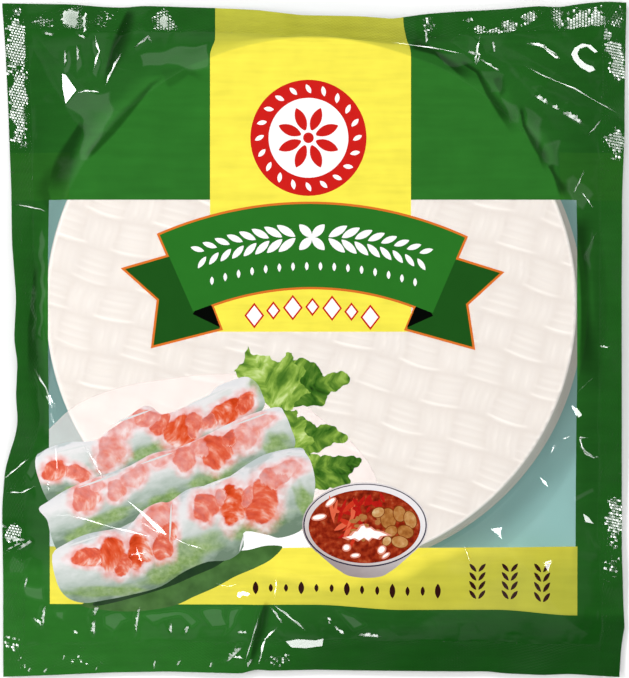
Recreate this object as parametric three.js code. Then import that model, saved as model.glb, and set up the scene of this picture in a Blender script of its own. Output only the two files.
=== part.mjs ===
// A flat, four-side-sealed plastic pack with a round stack of rice paper sheets in it.
//
// The pack lies on its back. Its front film is draped over the stack, comes down past the rim and
// meets the back film in a flat seal that runs round all four sides.
// Millimetres, +Z up, +Y towards the pack's top edge. The origin is under the middle of the pack.

import * as THREE from 'three';

// Driving dimensions

const PACK_WIDTH = 257.8;
const PACK_LENGTH = 278.4;
const SEAL_WIDTH = 8.6;
const FILM_THICKNESS = 0.5;
const SEAL_GAP = 0.1;

const SHEET_DIAMETER = 220;
const SHEET_DIAMETER_SPREAD = 0.6;
const SHEET_THICKNESS = 0.28;
const SHEET_PITCH = 0.4;
const SHEET_COUNT = 30;
const SHEET_SIDES = 40;

// The top sheet's centre, from the middle of the pack, and how far the bottom sheet has slid from it.
const STACK_CENTRE = new THREE.Vector2(-1.0, 14.2);
const STACK_SLIDE = new THREE.Vector2(3.6, -1.2);
const SHEET_JITTER = 0.35;

const FILM_TO_PAPER = 0.3;
const FILM_TO_RIM = 1.1;

// A seal close to the stack is held at LIFTED_SEAL above the table. One with slack film before it
// drops to LOW_SEAL, over a width of SLACK_WIDTH.
const LIFTED_SEAL = 6.0;
const LOW_SEAL = 1.5;
const SLACK_WIDTH = 13;
const SEAL_WAVE = 0.5;

const PLEAT_HEIGHT = 1.6;
const RAYS_PER_SIDE = 24;
const FREE_FILM_STEPS = [0.22, 0.48, 0.76];

const COLOURS = {
  film: 0x2b7230,
  filmBack: 0x1f6122,
  paper: 0xf6f0e8,
};

// How far each side is drawn in, as bumps along it: where the bump is, how deep, and how wide
// towards the lower and the higher end of the side.

const PULLED_IN = {
  left: [
    { at: -30, depth: 6.4, below: 13, above: 85 },
  ],
  right: [
    { at: 10, depth: 2.0, below: 70, above: 60 },
    { at: -139, depth: 3.3, below: 16, above: 16 },
  ],
  top: [
    { at: 36, depth: 6.6, below: 46, above: 28 },
    { at: -72, depth: 2.2, below: 24, above: 40 },
  ],
  bottom: [
    { at: 12, depth: 2.6, below: 80, above: 75 },
  ],
};

// Large folds in the front film: where each starts and ends, its height (a groove is below zero)
// and its half width.

const FOLDS = [
  { from: [-98, 74], to: [-66, 106], height: -1.6, width: 5 },
  { from: [-118, 118], to: [-98, 88], height: 2.4, width: 6 },
  { from: [80, 124], to: [124, 94], height: 2.4, width: 6 },
  { from: [84, 106], to: [110, 66], height: -1.8, width: 6 },
  { from: [-112, -46], to: [-128, -56], height: 2.2, width: 6 },
  { from: [-60, -86], to: [-108, -56], height: 1.8, width: 6 },
  { from: [-21, -104], to: [-26, -138], height: 2.4, width: 5 },
  { from: [114, -46], to: [118, -84], height: 2.2, width: 6 },
  { from: [60, -98], to: [96, -78], height: 1.6, width: 7 },
];

const SHEET_RADIUS = SHEET_DIAMETER / 2;
const STACK_FLOOR = FILM_THICKNESS + FILM_TO_PAPER;
const STACK_TOP = STACK_FLOOR + (SHEET_COUNT - 1) * SHEET_PITCH + SHEET_THICKNESS;
const FRONT_TOP = STACK_TOP + FILM_TO_PAPER + FILM_THICKNESS;

// Small helpers

function seededRandom(seed) {
  let state = seed;
  return () => {
    state = (state * 1664525 + 1013904223) % 4294967296;
    return state / 4294967296;
  };
}

function skewedBump(position, bump) {
  const width = position < bump.at ? bump.below : bump.above;
  return bump.depth * Math.exp(-(((position - bump.at) / width) ** 2));
}

function pulledIn(side, position) {
  return PULLED_IN[side].reduce((sum, bump) => sum + skewedBump(position, bump), 0);
}

// A point of the flat pack, u and v from -1 to 1 across and up it, taken to the drawn-in outline.

function packPoint(u, v) {
  const acrossAt = (u * PACK_WIDTH) / 2;
  const upAt = (v * PACK_LENGTH) / 2;
  const left = -PACK_WIDTH / 2 + pulledIn('left', upAt);
  const right = PACK_WIDTH / 2 - pulledIn('right', upAt);
  const bottom = -PACK_LENGTH / 2 + pulledIn('bottom', acrossAt);
  const top = PACK_LENGTH / 2 - pulledIn('top', acrossAt);
  return new THREE.Vector2(
    THREE.MathUtils.lerp(left, right, (u + 1) / 2),
    THREE.MathUtils.lerp(bottom, top, (v + 1) / 2),
  );
}

// The rays run from the stack's centre to points spaced evenly round the edge, so that each corner
// of the pack has a ray of its own. Each is given as its point on the unit square.

function edgeOfSquare() {
  const corners = [[-1, -1], [1, -1], [1, 1], [-1, 1]];
  const points = [];
  corners.forEach((corner, side) => {
    const next = corners[(side + 1) % corners.length];
    for (let step = 0; step < RAYS_PER_SIDE; step += 1) {
      const along = step / RAYS_PER_SIDE;
      points.push([
        THREE.MathUtils.lerp(corner[0], next[0], along),
        THREE.MathUtils.lerp(corner[1], next[1], along),
      ]);
    }
  });
  return points;
}

function foldHeight(point) {
  return FOLDS.reduce((sum, fold) => {
    const start = new THREE.Vector2(...fold.from);
    const run = new THREE.Vector2(...fold.to).sub(start);
    const along = THREE.MathUtils.clamp(point.clone().sub(start).dot(run) / run.lengthSq(), 0, 1);
    const distance = point.distanceTo(start.addScaledVector(run, along));
    return sum + fold.height * Math.exp(-((distance / fold.width) ** 2));
  }, 0);
}

// One ray from the stack's centre to the edge: its points at the rim and at both edges of the seal,
// the height of its seal, and the pleat that it carries in the slack film.

function makeRays() {
  const random = seededRandom(7);
  return edgeOfSquare().map(([u, v], index) => {
    const outer = packPoint(u, v);
    const inner = packPoint(u * (1 - (2 * SEAL_WIDTH) / PACK_WIDTH), v * (1 - (2 * SEAL_WIDTH) / PACK_LENGTH));
    const direction = inner.clone().sub(STACK_CENTRE).normalize();
    const slide = Math.max(0, direction.dot(STACK_SLIDE));
    const rim = STACK_CENTRE.clone().addScaledVector(direction, SHEET_RADIUS + slide + FILM_TO_RIM);
    const slack = inner.distanceTo(rim);
    const wave = SEAL_WAVE * Math.sin(index * 1.9) * Math.sin(index * 0.37);
    return {
      direction,
      rim,
      inner,
      outer,
      seal: LOW_SEAL + (LIFTED_SEAL - LOW_SEAL) * Math.exp(-slack / SLACK_WIDTH) + wave,
      pleat: PLEAT_HEIGHT * (random() - 0.5) * Math.min(1, slack / SLACK_WIDTH),
    };
  });
}

// Rings of the front film's upper face and the back film's lower face, from the middle outwards.
// Each is one list of points, a point for each ray.

function frontRings(rays) {
  const flat = [0.45, 0.8, 0.97].map((share) => rays.map(({ direction }) => {
    const point = STACK_CENTRE.clone().addScaledVector(direction, SHEET_RADIUS * share);
    return new THREE.Vector3(point.x, point.y, FRONT_TOP);
  }));
  const rim = rays.map((ray) => new THREE.Vector3(ray.rim.x, ray.rim.y, FRONT_TOP));
  const free = FREE_FILM_STEPS.map((step) => rays.map((ray) => {
    const point = ray.rim.clone().lerp(ray.inner, step);
    const top = ray.seal + FILM_THICKNESS;
    const drape = top + (FRONT_TOP - top) * (1 - step) ** 1.5;
    const slackness = Math.sin(Math.PI * step);
    const relief = ray.pleat * slackness + foldHeight(point) * slackness;
    return new THREE.Vector3(point.x, point.y, Math.max(top, drape + relief));
  }));
  const seal = ['inner', 'outer'].map((edge) => rays.map((ray) => (
    new THREE.Vector3(ray[edge].x, ray[edge].y, ray.seal + FILM_THICKNESS)
  )));
  return [...flat, rim, ...free, ...seal];
}

function backRings(rays) {
  const underside = (ray) => ray.seal - SEAL_GAP - FILM_THICKNESS;
  const flat = rays.map(({ direction }) => {
    const point = STACK_CENTRE.clone().addScaledVector(direction, SHEET_RADIUS * 0.6);
    return new THREE.Vector3(point.x, point.y, 0);
  });
  const rim = rays.map((ray) => new THREE.Vector3(ray.rim.x, ray.rim.y, 0));
  const free = FREE_FILM_STEPS.map((step) => rays.map((ray) => {
    const point = ray.rim.clone().lerp(ray.inner, step);
    return new THREE.Vector3(point.x, point.y, underside(ray) * step ** 1.6);
  }));
  const seal = ['inner', 'outer'].map((edge) => rays.map((ray) => (
    new THREE.Vector3(ray[edge].x, ray[edge].y, underside(ray))
  )));
  return [flat, rim, ...free, ...seal];
}

// The other face of a film: the same rings, FILM_THICKNESS below or above. Where the film stands
// steeply, its ring also moves in by as much, so that the wall keeps its thickness there.

function otherFace(rings, rays, offset, steepRings) {
  return rings.map((ring, index) => ring.map((point, rayIndex) => {
    const inward = steepRings.includes(index) ? FILM_THICKNESS : 0;
    const { direction } = rays[rayIndex];
    return new THREE.Vector3(
      point.x - direction.x * inward,
      point.y - direction.y * inward,
      point.z + offset,
    );
  }));
}

// A closed film: an upper and a lower face, each a fan round its centre and strips between its
// rings, and a strip round the cut edge.

function filmGeometry(upper, lower) {
  const count = upper[0].length;
  const positions = [];
  const triangles = [];
  const addFace = (rings, facesUp) => {
    const centre = positions.length / 3;
    positions.push(STACK_CENTRE.x, STACK_CENTRE.y, rings[0][0].z);
    rings.forEach((ring) => ring.forEach((point) => positions.push(point.x, point.y, point.z)));
    const at = (ring, ray) => centre + 1 + ring * count + (ray % count);
    const add = (a, b, c) => triangles.push(...(facesUp ? [a, b, c] : [a, c, b]));
    for (let ray = 0; ray < count; ray += 1) {
      add(centre, at(0, ray), at(0, ray + 1));
      for (let ring = 1; ring < rings.length; ring += 1) {
        add(at(ring - 1, ray), at(ring, ray), at(ring, ray + 1));
        add(at(ring - 1, ray), at(ring, ray + 1), at(ring - 1, ray + 1));
      }
    }
    return (ray) => at(rings.length - 1, ray);
  };
  const upperEdge = addFace(upper, true);
  const lowerEdge = addFace(lower, false);
  for (let ray = 0; ray < count; ray += 1) {
    triangles.push(upperEdge(ray), lowerEdge(ray), lowerEdge(ray + 1));
    triangles.push(upperEdge(ray), lowerEdge(ray + 1), upperEdge(ray + 1));
  }
  const geometry = new THREE.BufferGeometry();
  geometry.setAttribute('position', new THREE.Float32BufferAttribute(positions, 3));
  geometry.setIndex(triangles);
  geometry.computeVertexNormals();
  return geometry;
}

function frontFilm(rays) {
  const upper = frontRings(rays);
  const rimToSeal = [3, 4, 5, 6, 7];
  const lower = otherFace(upper, rays, -FILM_THICKNESS, rimToSeal);
  const material = new THREE.MeshStandardMaterial({ color: COLOURS.film, roughness: 0.2, metalness: 0 });
  const mesh = new THREE.Mesh(filmGeometry(upper, lower), material);
  mesh.name = 'front_film';
  return mesh;
}

function backFilm(rays) {
  const lower = backRings(rays);
  const upper = otherFace(lower, rays, FILM_THICKNESS, []);
  const material = new THREE.MeshStandardMaterial({ color: COLOURS.filmBack, roughness: 0.25, metalness: 0 });
  const mesh = new THREE.Mesh(filmGeometry(upper, lower), material);
  mesh.name = 'back_film';
  return mesh;
}

// The sheets, from the bottom one up. The stack has slid a little, most at its foot.

function paperSheets() {
  const random = seededRandom(22);
  const material = new THREE.MeshStandardMaterial({ color: COLOURS.paper, roughness: 0.6, metalness: 0 });
  const sheets = [];
  for (let number = 1; number <= SHEET_COUNT; number += 1) {
    const down = (SHEET_COUNT - number) / (SHEET_COUNT - 1);
    const isTop = number === SHEET_COUNT;
    const loose = isTop ? 0 : SHEET_JITTER;
    const radius = SHEET_RADIUS - (isTop ? 0 : random() * SHEET_DIAMETER_SPREAD * 0.5);
    const geometry = new THREE.CylinderGeometry(radius, radius, SHEET_THICKNESS, SHEET_SIDES);
    const sheet = new THREE.Mesh(geometry, material);
    sheet.name = `rice_paper_sheet_${String(number).padStart(2, '0')}`;
    sheet.rotation.set(Math.PI / 2, (random() * Math.PI) / SHEET_SIDES, 0, 'XYZ');
    sheet.position.set(
      STACK_CENTRE.x + STACK_SLIDE.x * down ** 1.3 + loose * (random() - 0.5),
      STACK_CENTRE.y + STACK_SLIDE.y * down ** 1.3 + loose * (random() - 0.5),
      STACK_FLOOR + (number - 1) * SHEET_PITCH + SHEET_THICKNESS / 2,
    );
    sheets.push(sheet);
  }
  return sheets;
}

// The whole pack, set down with the middle of its box over the origin.

function buildPack() {
  const rays = makeRays();
  const pack = new THREE.Group();
  pack.add(frontFilm(rays), backFilm(rays), ...paperSheets());
  const box = new THREE.Box3().setFromObject(pack);
  const middle = box.getCenter(new THREE.Vector3());
  pack.position.set(-middle.x, -middle.y, -box.min.z);
  return pack;
}

export default buildPack();
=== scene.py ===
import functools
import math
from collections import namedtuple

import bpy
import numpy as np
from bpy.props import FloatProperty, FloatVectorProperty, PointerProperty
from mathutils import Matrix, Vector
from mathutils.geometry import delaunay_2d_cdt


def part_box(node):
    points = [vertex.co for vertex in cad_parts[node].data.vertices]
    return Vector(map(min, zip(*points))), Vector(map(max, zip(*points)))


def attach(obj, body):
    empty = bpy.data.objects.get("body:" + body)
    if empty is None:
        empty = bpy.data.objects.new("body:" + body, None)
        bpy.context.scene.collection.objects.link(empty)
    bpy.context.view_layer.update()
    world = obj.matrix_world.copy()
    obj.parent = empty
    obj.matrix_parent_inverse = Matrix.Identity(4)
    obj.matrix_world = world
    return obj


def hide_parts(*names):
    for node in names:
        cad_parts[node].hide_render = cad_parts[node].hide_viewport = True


bl_info = {
    "name": "Rice paper pack",
    "version": (1, 0, 0),
    "blender": (4, 5, 0),
    "location": "3D View > Sidebar > Rice paper",
    "description": "Film, print and rice paper sheets for a flat sealed pack, with a studio round it",
    "category": "Object",
}

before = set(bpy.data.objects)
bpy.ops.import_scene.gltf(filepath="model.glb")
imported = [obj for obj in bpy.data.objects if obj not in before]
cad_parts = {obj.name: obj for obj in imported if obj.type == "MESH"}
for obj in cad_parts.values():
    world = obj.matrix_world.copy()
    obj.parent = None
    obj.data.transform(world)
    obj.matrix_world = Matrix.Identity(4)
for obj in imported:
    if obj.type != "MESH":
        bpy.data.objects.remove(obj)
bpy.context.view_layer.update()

# Everything below is in millimetres on the pack, +X to the right as it is read and +Y to its top
# edge, and becomes metres where a mesh is made.

MM = 0.001

# ---------------------------------------------------------------------------------------------
# Sizes read from the frame
# ---------------------------------------------------------------------------------------------

SHEET_NODES = sorted(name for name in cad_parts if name.startswith("rice_paper_sheet_"))


def node_box(node):
    low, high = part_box(node)
    return np.array(low) / MM, np.array(high) / MM


def node_centre(node):
    low, high = node_box(node)
    return (low + high) / 2


FILM_LOW, FILM_HIGH = node_box("front_film")
# The film's welded edge is thin and lies a little further out than the solid's.
PACK_WIDTH = FILM_HIGH[0] - FILM_LOW[0] + 1.2
PACK_LENGTH = FILM_HIGH[1] - FILM_LOW[1] + 1.8
TOP_SHEET = node_centre(SHEET_NODES[-1])
BOTTOM_SHEET = node_centre(SHEET_NODES[0])
STACK_X, STACK_Y = TOP_SHEET[0], TOP_SHEET[1]
STACK_TOP = node_box(SHEET_NODES[-1])[1][2]
SHEET_RADIUS = (node_box(SHEET_NODES[-1])[1][0] - node_box(SHEET_NODES[-1])[0][0]) / 2
SLIDE_X, SLIDE_Y = BOTTOM_SHEET[0] - STACK_X, BOTTOM_SHEET[1] - STACK_Y

# ---------------------------------------------------------------------------------------------
# The pack's own shape
# ---------------------------------------------------------------------------------------------

# The film lies close on the paper and clears the stack's rim. A seal is held up where little slack
# film lies between it and the rim, and drops where there is more. What draws the pack's edge in
# moves the film up to PULL_REACH from the edge.
FILM_TO_PAPER = 0.12
FILM_TO_RIM = 1.0
SEAL_WIDTH = {"left": 8.8, "right": 9.3, "top": 9.9, "bottom": 13.1}
LIFTED_SEAL = 6.0
LOW_SEAL = 1.5
SLACK_WIDTH = 13.0
PULL_REACH = 20.0

# Where each side of the pack runs: the place along it and how far out it is there.
EDGE_LINES = {
    "left": [(-141, -129.2), (-100, -129.3), (-70, -129.7), (-55, -128.5), (-47, -126.3), (-41, -124.2),
             (-34, -123.0), (-24, -123.8), (-10, -123.1), (0, -124.5), (17, -123.6), (40, -125.4),
             (63, -125.8), (98, -127.3), (121, -128.4), (140, -129.8)],
    "right": [(-141, 127.3), (-128, 128.1), (-117, 129.6), (-103, 128.9), (-90, 128.4), (20, 128.1),
              (60, 128.4), (85, 129.4), (110, 129.7), (140, 130.3)],
    "top": [(-130, 139.8), (-100, 139.1), (-88, 138.1), (-79, 137.8), (-72, 138.5), (-44, 137.6),
            (-24, 136.6), (-5, 134.4), (20, 134.0), (36, 133.0), (50, 135.2), (60, 136.1), (80, 137.2),
            (94, 138.5), (102, 138.0), (112, 139.6), (121, 140.4), (130, 140.0)],
    "bottom": [(-130, -140.8), (-110, -140.1), (-85, -139.0), (-60, -138.6), (-29, -139.4), (-25, -137.6),
               (-18, -138.2), (0, -137.8), (25, -138.2), (60, -138.5), (72, -138.5), (80, -139.4),
               (96, -140.1), (106, -139.6), (130, -140.9)],
}

# Large soft folds: start, end, height, half width.
FOLDS = [
    ((-98, 74), (-66, 106), -1.6, 5),
    ((-118, 118), (-98, 88), 2.4, 6),
    ((80, 124), (124, 94), 2.4, 6),
    ((84, 106), (110, 66), -1.8, 6),
    ((-112, -46), (-128, -56), 2.2, 6),
    ((-60, -86), (-108, -56), 1.8, 6),
    ((-21, -104), (-26, -138), 2.4, 5),
    ((114, -46), (118, -84), 2.2, 6),
    ((60, -98), (96, -78), 1.6, 7),
]

# Sharp creases that catch the light as thin bright lines: the side, left or right of its path, on
# which the film falls away steeply, the width of the bright flank there, and the path.
CREASES = [
    ("right", 0.7, [(-79.5, 119.1), (-83.0, 112.4), (-86.6, 104.4)]),
    ("left", 0.5, [(-98.3, 102.1), (-93.8, 102.7), (-88.0, 102.1)]),
    ("left", 0.7, [(-103.7, 120.5), (-103.7, 113.3)]),
    ("left", 0.7, [(-98.7, 122.3), (-98.3, 115.1)]),
    ("right", 0.7, [(-91.1, 126.8), (-88.9, 119.6), (-91.6, 110.6)]),
    ("right", 0.7, [(-75.0, 120.9), (-68.7, 126.3), (-66.9, 122.7)]),
    ("left", 0.35, [(-124.3, 55.9), (-113.5, 53.7), (-110.4, 52.3)]),
    ("left", 0.35, [(30.2, 123.2), (40.1, 121.8), (53.5, 120.0), (63.4, 117.8)]),
    ("left", 0.35, [(86.7, 113.8), (94.8, 109.3), (108.2, 103.9), (128.0, 93.1)]),
    ("left", 0.7, [(88.5, 122.7), (95.7, 121.4), (102.9, 116.5)]),
    ("left", 0.7, [(63.4, 118.7), (68.8, 117.8), (67.0, 113.3)]),
    ("right", 0.7, [(69.7, 126.8), (67.0, 113.3)]),
    ("left", 0.7, [(74.2, 124.1), (75.1, 118.7)]),
    ("left", 0.7, [(68.8, 116.0), (77.7, 110.6)]),
    ("right", 0.35, [(113.6, 84.6), (117.2, 88.2), (119.9, 91.8)]),
    ("left", 0.7, [(46.4, 129.5), (46.8, 122.3)]),
    ("left", 0.35, [(112.7, 70.3), (107.3, 59.5)]),
    ("right", 0.35, [(118.1, 45.2), (112.7, 34.4), (114.5, 25.4)]),
    ("left", 0.35, [(110.9, 61.3), (116.3, 54.1)]),
    ("left", 0.35, [(-129.7, -59.2), (-124.3, -54.8), (-118.1, -49.4)]),
    ("left", 0.35, [(-128.3, -64.1), (-120.8, -64.1), (-115.4, -61.0)]),
    ("right", 0.7, [(-116.3, -12.0), (-110.9, -20.0), (-108.3, -25.4), (-105.6, -30.7)]),
    ("left", 0.7, [(-110.1, -29.8), (-107.4, -36.1)]),
    ("right", 0.35, [(-106.9, -44.1), (-106.0, -56.6)]),
    ("left", 0.7, [(-110.9, -58.4), (-110.5, -63.7)]),
    ("left", 0.7, [(-94.9, -44.1), (-86.9, -58.4)]),
    ("left", 0.5, [(-110.1, -73.5), (-101.1, -73.5), (-79.7, -79.3), (-59.2, -83.8)]),
    ("right", 0.35, [(-73.2, -74.0), (-67.6, -78.0), (-62.5, -81.3)]),
    ("left", 0.35, [(-59.6, -81.6), (-52.4, -85.2), (-43.8, -87.6)]),
    ("left", 0.7, [(-76.2, -90.0), (-69.0, -88.7)]),
    ("right", 0.7, [(-73.5, -86.0), (-70.8, -93.1)]),
    ("left", 0.35, [(-22.2, -112.7), (-25.8, -125.2), (-29.3, -136.8)]),
    ("left", 0.7, [(-18.2, -111.0), (-12.9, -119.0)]),
    ("left", 0.7, [(-17.3, -110.1), (-3.0, -121.7)]),
    ("right", 0.7, [(-14.6, -119.9), (-20.0, -125.2), (-22.7, -135.9)]),
    ("left", 0.7, [(-35.1, -132.4), (-28.9, -133.2)]),
    ("left", 0.35, [(108.9, -22.7), (112.9, -19.1), (116.5, -16.0)]),
    ("left", 0.7, [(118.7, -3.1), (122.7, -4.0)]),
    ("right", 0.35, [(102.7, -41.4), (106.7, -40.1)]),
    ("left", 0.35, [(98.2, -47.7), (100.4, -43.2)]),
    ("right", 0.35, [(114.7, -41.4), (110.7, -41.0), (112.0, -45.9), (117.4, -49.4)]),
    ("left", 0.35, [(62.1, -85.1), (64.8, -93.1)]),
    ("left", 0.7, [(95.1, -94.0), (99.6, -92.2)]),
    ("left", 0.7, [(6.9, -115.4), (6.0, -119.0)]),
    ("right", 0.7, [(8.6, -119.0), (13.1, -123.0)]),
    ("right", 0.3, [(-15.6, -98.0), (-15.2, -102.5), (-16.2, -108.0)]),
    ("left", 0.3, [(-30.4, -101.5), (-35.8, -102.6), (-41.0, -101.4)]),
]
CREASE_HEIGHT = 0.22
CREASE_STEEP = 0.85
CREASE_GENTLE = 2.8

# Small facets tilted so that they mirror a light: start, end and width. The facet lies to the left
# of the line and rises away from it.
BRIGHT_FACETS = [
    ((-112.6, 127.0), (-108.2, 125.9), 1.1),
    ((-98.3, 126.3), (-95.1, 124.8), 1.0),
    ((91.2, 100.8), (97.5, 96.9), 1.6),
    ((98.6, 96.4), (101.8, 94.8), 1.3),
    ((102.9, 94.0), (111.8, 88.9), 1.9),
    ((63.9, 118.9), (67.6, 117.6), 1.2),
    ((-119.9, -83.3), (-129.2, -82.2), 1.4),
    ((-112.3, -119.9), (-111.4, -111.0), 1.2),
    ((-117.0, -116.5), (-113.0, -119.7), 1.1),
    ((-91.2, -115.8), (-89.0, -111.2), 1.5),
    ((-91.0, -123.6), (-90.8, -116.8), 1.5),
    ((-73.8, -122.8), (-72.0, -111.4), 1.0),
    ((-58.9, -122.9), (-58.9, -118.1), 1.0),
    ((-53.2, -123.2), (-51.4, -119.2), 1.2),
    ((-100.4, -122.2), (-98.0, -123.2), 1.1),
    ((-32.0, -122.6), (-27.3, -122.6), 1.0),
    ((-36.0, -135.0), (-29.5, -128.6), 1.7),
    ((-27.5, -137.2), (-25.2, -133.2), 1.0),
    ((-42.8, -137.0), (-42.0, -134.4), 0.8),
    ((-56.6, -136.6), (-55.0, -133.6), 0.7),
    ((-66.4, -137.6), (-65.4, -133.8), 0.7),
    ((-112.2, -139.4), (-110.6, -137.2), 0.8),
    ((-118.6, -139.0), (-117.4, -136.8), 0.8),
    ((-104.4, -134.2), (-103.2, -131.4), 0.5),
    ((-90.6, -138.4), (-89.8, -136.6), 0.6),
    ((-119.9, -104.0), (-118.9, -99.2), 0.8),
    ((-123.0, -88.4), (-116.4, -84.2), 1.3),
    ((-128.6, -88.8), (-120.4, -84.6), 0.7),
    ((5.4, -115.8), (6.8, -117.6), 0.8),
    ((9.8, -120.8), (12.6, -123.4), 0.9),
    ((18.4, -123.6), (28.4, -124.4), 1.3),
    ((-111.6, -23.0), (-108.4, -29.2), 0.9),
]
FACET_SLOPE = 0.16

# Flat facets with a set outline: what each mirrors (a soft panel's name, or the azimuth of a strip
# light), and its corners.
MIRROR_FACETS = [
    ("panel left", [(-102.8, 97.2), (-98.3, 102.6), (-84.8, 102.1), (-83.0, 94.5), (-93.8, 73.4),
                    (-96.0, 73.9), (-95.1, 90.0)]),
    ("panel left", [(-72.2, 117.8), (-58, 121), (-43.5, 122.3), (-43.5, 111.5), (-51.6, 111.1),
                    (-61.5, 114.2), (-71.3, 112.4)]),
    ("panel right", [(50.4, 119.1), (62.5, 118.7), (67.0, 114.3), (59.8, 112.2), (53.5, 114.0)]),
    ("panel right", [(69.0, 112.4), (79.6, 109.8), (77.0, 101.6), (73.4, 101.7)]),
    ("panel right", [(77.9, 99.9), (84.0, 97.2), (84.8, 90.0), (81.5, 90.0)]),
    ("panel right", [(87.7, 95.3), (94.8, 91.8), (93.0, 79.4), (89.4, 84.6)]),
    ("panel right", [(95.7, 81.0), (102.0, 81.9), (100.7, 71.1), (94.8, 73.8)]),
    ("panel right", [(108.3, 68.4), (116.4, 59.5), (111.9, 53.2), (104.7, 61.3), (105.6, 65.8)]),
    ("panel right", [(116.4, 45.1), (114.6, 25.4), (111.9, 33.5)]),
    ("panel right", [(106.7, -64.6), (117.4, -61.9), (117.4, -64.6), (107.6, -68.1)]),
    ("panel left", [(-47.0, -112.5), (-37.5, -111.5), (-36.0, -119.0), (-43.0, -121.0)]),
    ("panel left", [(-114.4, 42), (-112.0, 46), (-110.8, 20), (-112.4, 0), (-114.4, 2), (-113.0, 20)]),
    ("panel left", [(-102.4, 120.0), (-101.0, 120.4), (-101.2, 112.0), (-103.2, 109.6), (-104.2, 112.6)]),
    ("panel left", [(-98.4, 121.6), (-97.0, 121.6), (-96.6, 113.0), (-98.0, 110.0), (-99.2, 114.0)]),
    ("panel left", [(-92.6, 124.0), (-91.2, 124.4), (-88.6, 116.0), (-89.6, 108.6), (-91.6, 110.6),
                    (-90.6, 116.4)]),
    ("panel left", [(-107.4, -113.7), (-102.9, -112.8), (-103.8, -117.2), (-106.9, -116.3)]),
    ("panel left", [(-86.9, -114.6), (-79.7, -113.7), (-76.2, -116.3), (-79.7, -118.1), (-83.3, -122.6),
                    (-87.8, -119.0)]),
    ("panel left", [(-70.8, -115.4), (-61.9, -112.8), (-51.2, -113.7), (-47.6, -117.2), (-51.2, -119.9),
                    (-54.8, -116.3), (-61.9, -116.3), (-67.2, -119.0)]),
    ("panel left", [(-34.6, -112.0), (-29.6, -112.0), (-33.1, -119.0), (-37.5, -123.5)]),
    ("panel left", [(-120.8, -103.0), (-111.8, -103.0), (-112.7, -109.1), (-119.9, -107.3)]),
    ("panel left", [(-125.5, -90.0), (-120.5, -93.5), (-117.5, -91.0), (-121.5, -98.5), (-127.5, -97.5)]),
    ("panel left", [(-120.4, -56.0), (-115.4, -48.0), (-113.2, -49.4), (-117.6, -58.6)]),
    ("panel left", [(8.4, -112.6), (17.5, -114.6), (21.4, -119.4), (16.2, -120.6), (12.4, -116.4)]),
    ("panel left", [(-118.2, 20), (-115.8, 24), (-114.9, 2), (-117.4, -3), (-116.9, 8)]),
    (88, [(-104.4, 135.3), (-103.6, 136.5), (-102.3, 136.2), (-100.9, 136.9), (-98.9, 136.0),
          (-97.5, 136.3), (-98.1, 134.7), (-97.6, 133.9), (-98.9, 133.2), (-98.2, 132.0), (-98.6, 130.8),
          (-99.6, 129.4), (-100.4, 130.9), (-101.6, 129.9), (-102.3, 131.2), (-103.9, 131.4),
          (-104.0, 132.4), (-105.4, 132.9), (-104.1, 133.8)]),
    (92, [(-96.4, 133.7), (-95.5, 134.2), (-94.9, 135.8), (-94.3, 135.1), (-95.1, 133.5), (-94.7, 132.1),
          (-95.2, 130.4), (-94.6, 128.6), (-95.7, 127.8), (-95.5, 129.6), (-96.3, 130.7), (-95.8, 132.2)]),
    (88, [(-63.8, 133.4), (-62.0, 134.6), (-60.4, 133.6), (-61.2, 132.0), (-60.8, 130.2), (-62.4, 129.0),
          (-63.0, 130.8), (-64.2, 131.6)]),
    (172, [(-104.5, 110.2), (-103.1, 109.7), (-98.6, 103.3), (-102.9, 97.7), (-104.2, 103.9)]),
    (40, [(111.9, 122.9), (108.8, 121.2), (107.2, 118.5), (108.3, 115.8), (111.1, 112.9), (114.9, 110.9),
            (117.2, 111.9), (116.2, 113.4), (113.3, 114.4), (110.8, 116.5), (109.7, 118.7), (110.8, 120.8),
            (113.8, 121.7), (117.1, 119.1), (118.3, 119.6), (115.3, 122.3)]),
    (70, [(89.0, 123.0), (93.9, 123.0), (97.5, 120.9), (100.2, 117.8), (103.1, 116.7), (100.6, 116.7),
            (98.0, 118.7), (95.7, 121.0), (93.0, 122.1)]),
    (20, [(110.8, -43.0), (111.1, -45.4), (113.1, -48.1), (116.5, -49.6), (118.5, -49.1), (116.5, -48.9),
            (113.6, -46.9), (112.0, -45.0)]),
    (50, [(106.7, -27.7), (109.4, -28.9), (111.4, -31.6), (110.1, -32.7), (108.5, -31.2)]),
    (95, [(-31.4, -105.2), (-29.2, -104.6), (-26.2, -105.8), (-27.6, -106.8), (-29.4, -106.4),
          (-30.6, -107.6), (-31.9, -106.8)]),
    (60, [(73.3, -78.7), (78.2, -78.0), (77.4, -80.6), (78.3, -83.3), (76.4, -81.1)]),
    (60, [(93.8, -57.4), (96.0, -58.8), (97.1, -61.2), (95.5, -60.3)]),
    (60, [(112.2, -72.8), (114.3, -74.2), (116.5, -76.9), (113.1, -76.2)]),
    (60, [(95.6, -93.1), (99.4, -91.9), (98.0, -95.1), (97.6, -97.0)]),
    (229, [(-76.9, -67.0), (-73.4, -69.5), (-70.2, -72.0), (-66.2, -75.2), (-63.2, -77.8), (-60.8, -80.6),
           (-61.2, -81.2), (-63.6, -80.3), (-66.5, -77.6), (-69.9, -73.8), (-72.6, -71.0)]),
    (275, [(-11.5, -126.0), (-6.6, -125.1), (0.6, -125.6), (4.1, -124.9), (3.6, -127.9), (-3.0, -128.8),
            (-9.3, -128.5)]),
]

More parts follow.
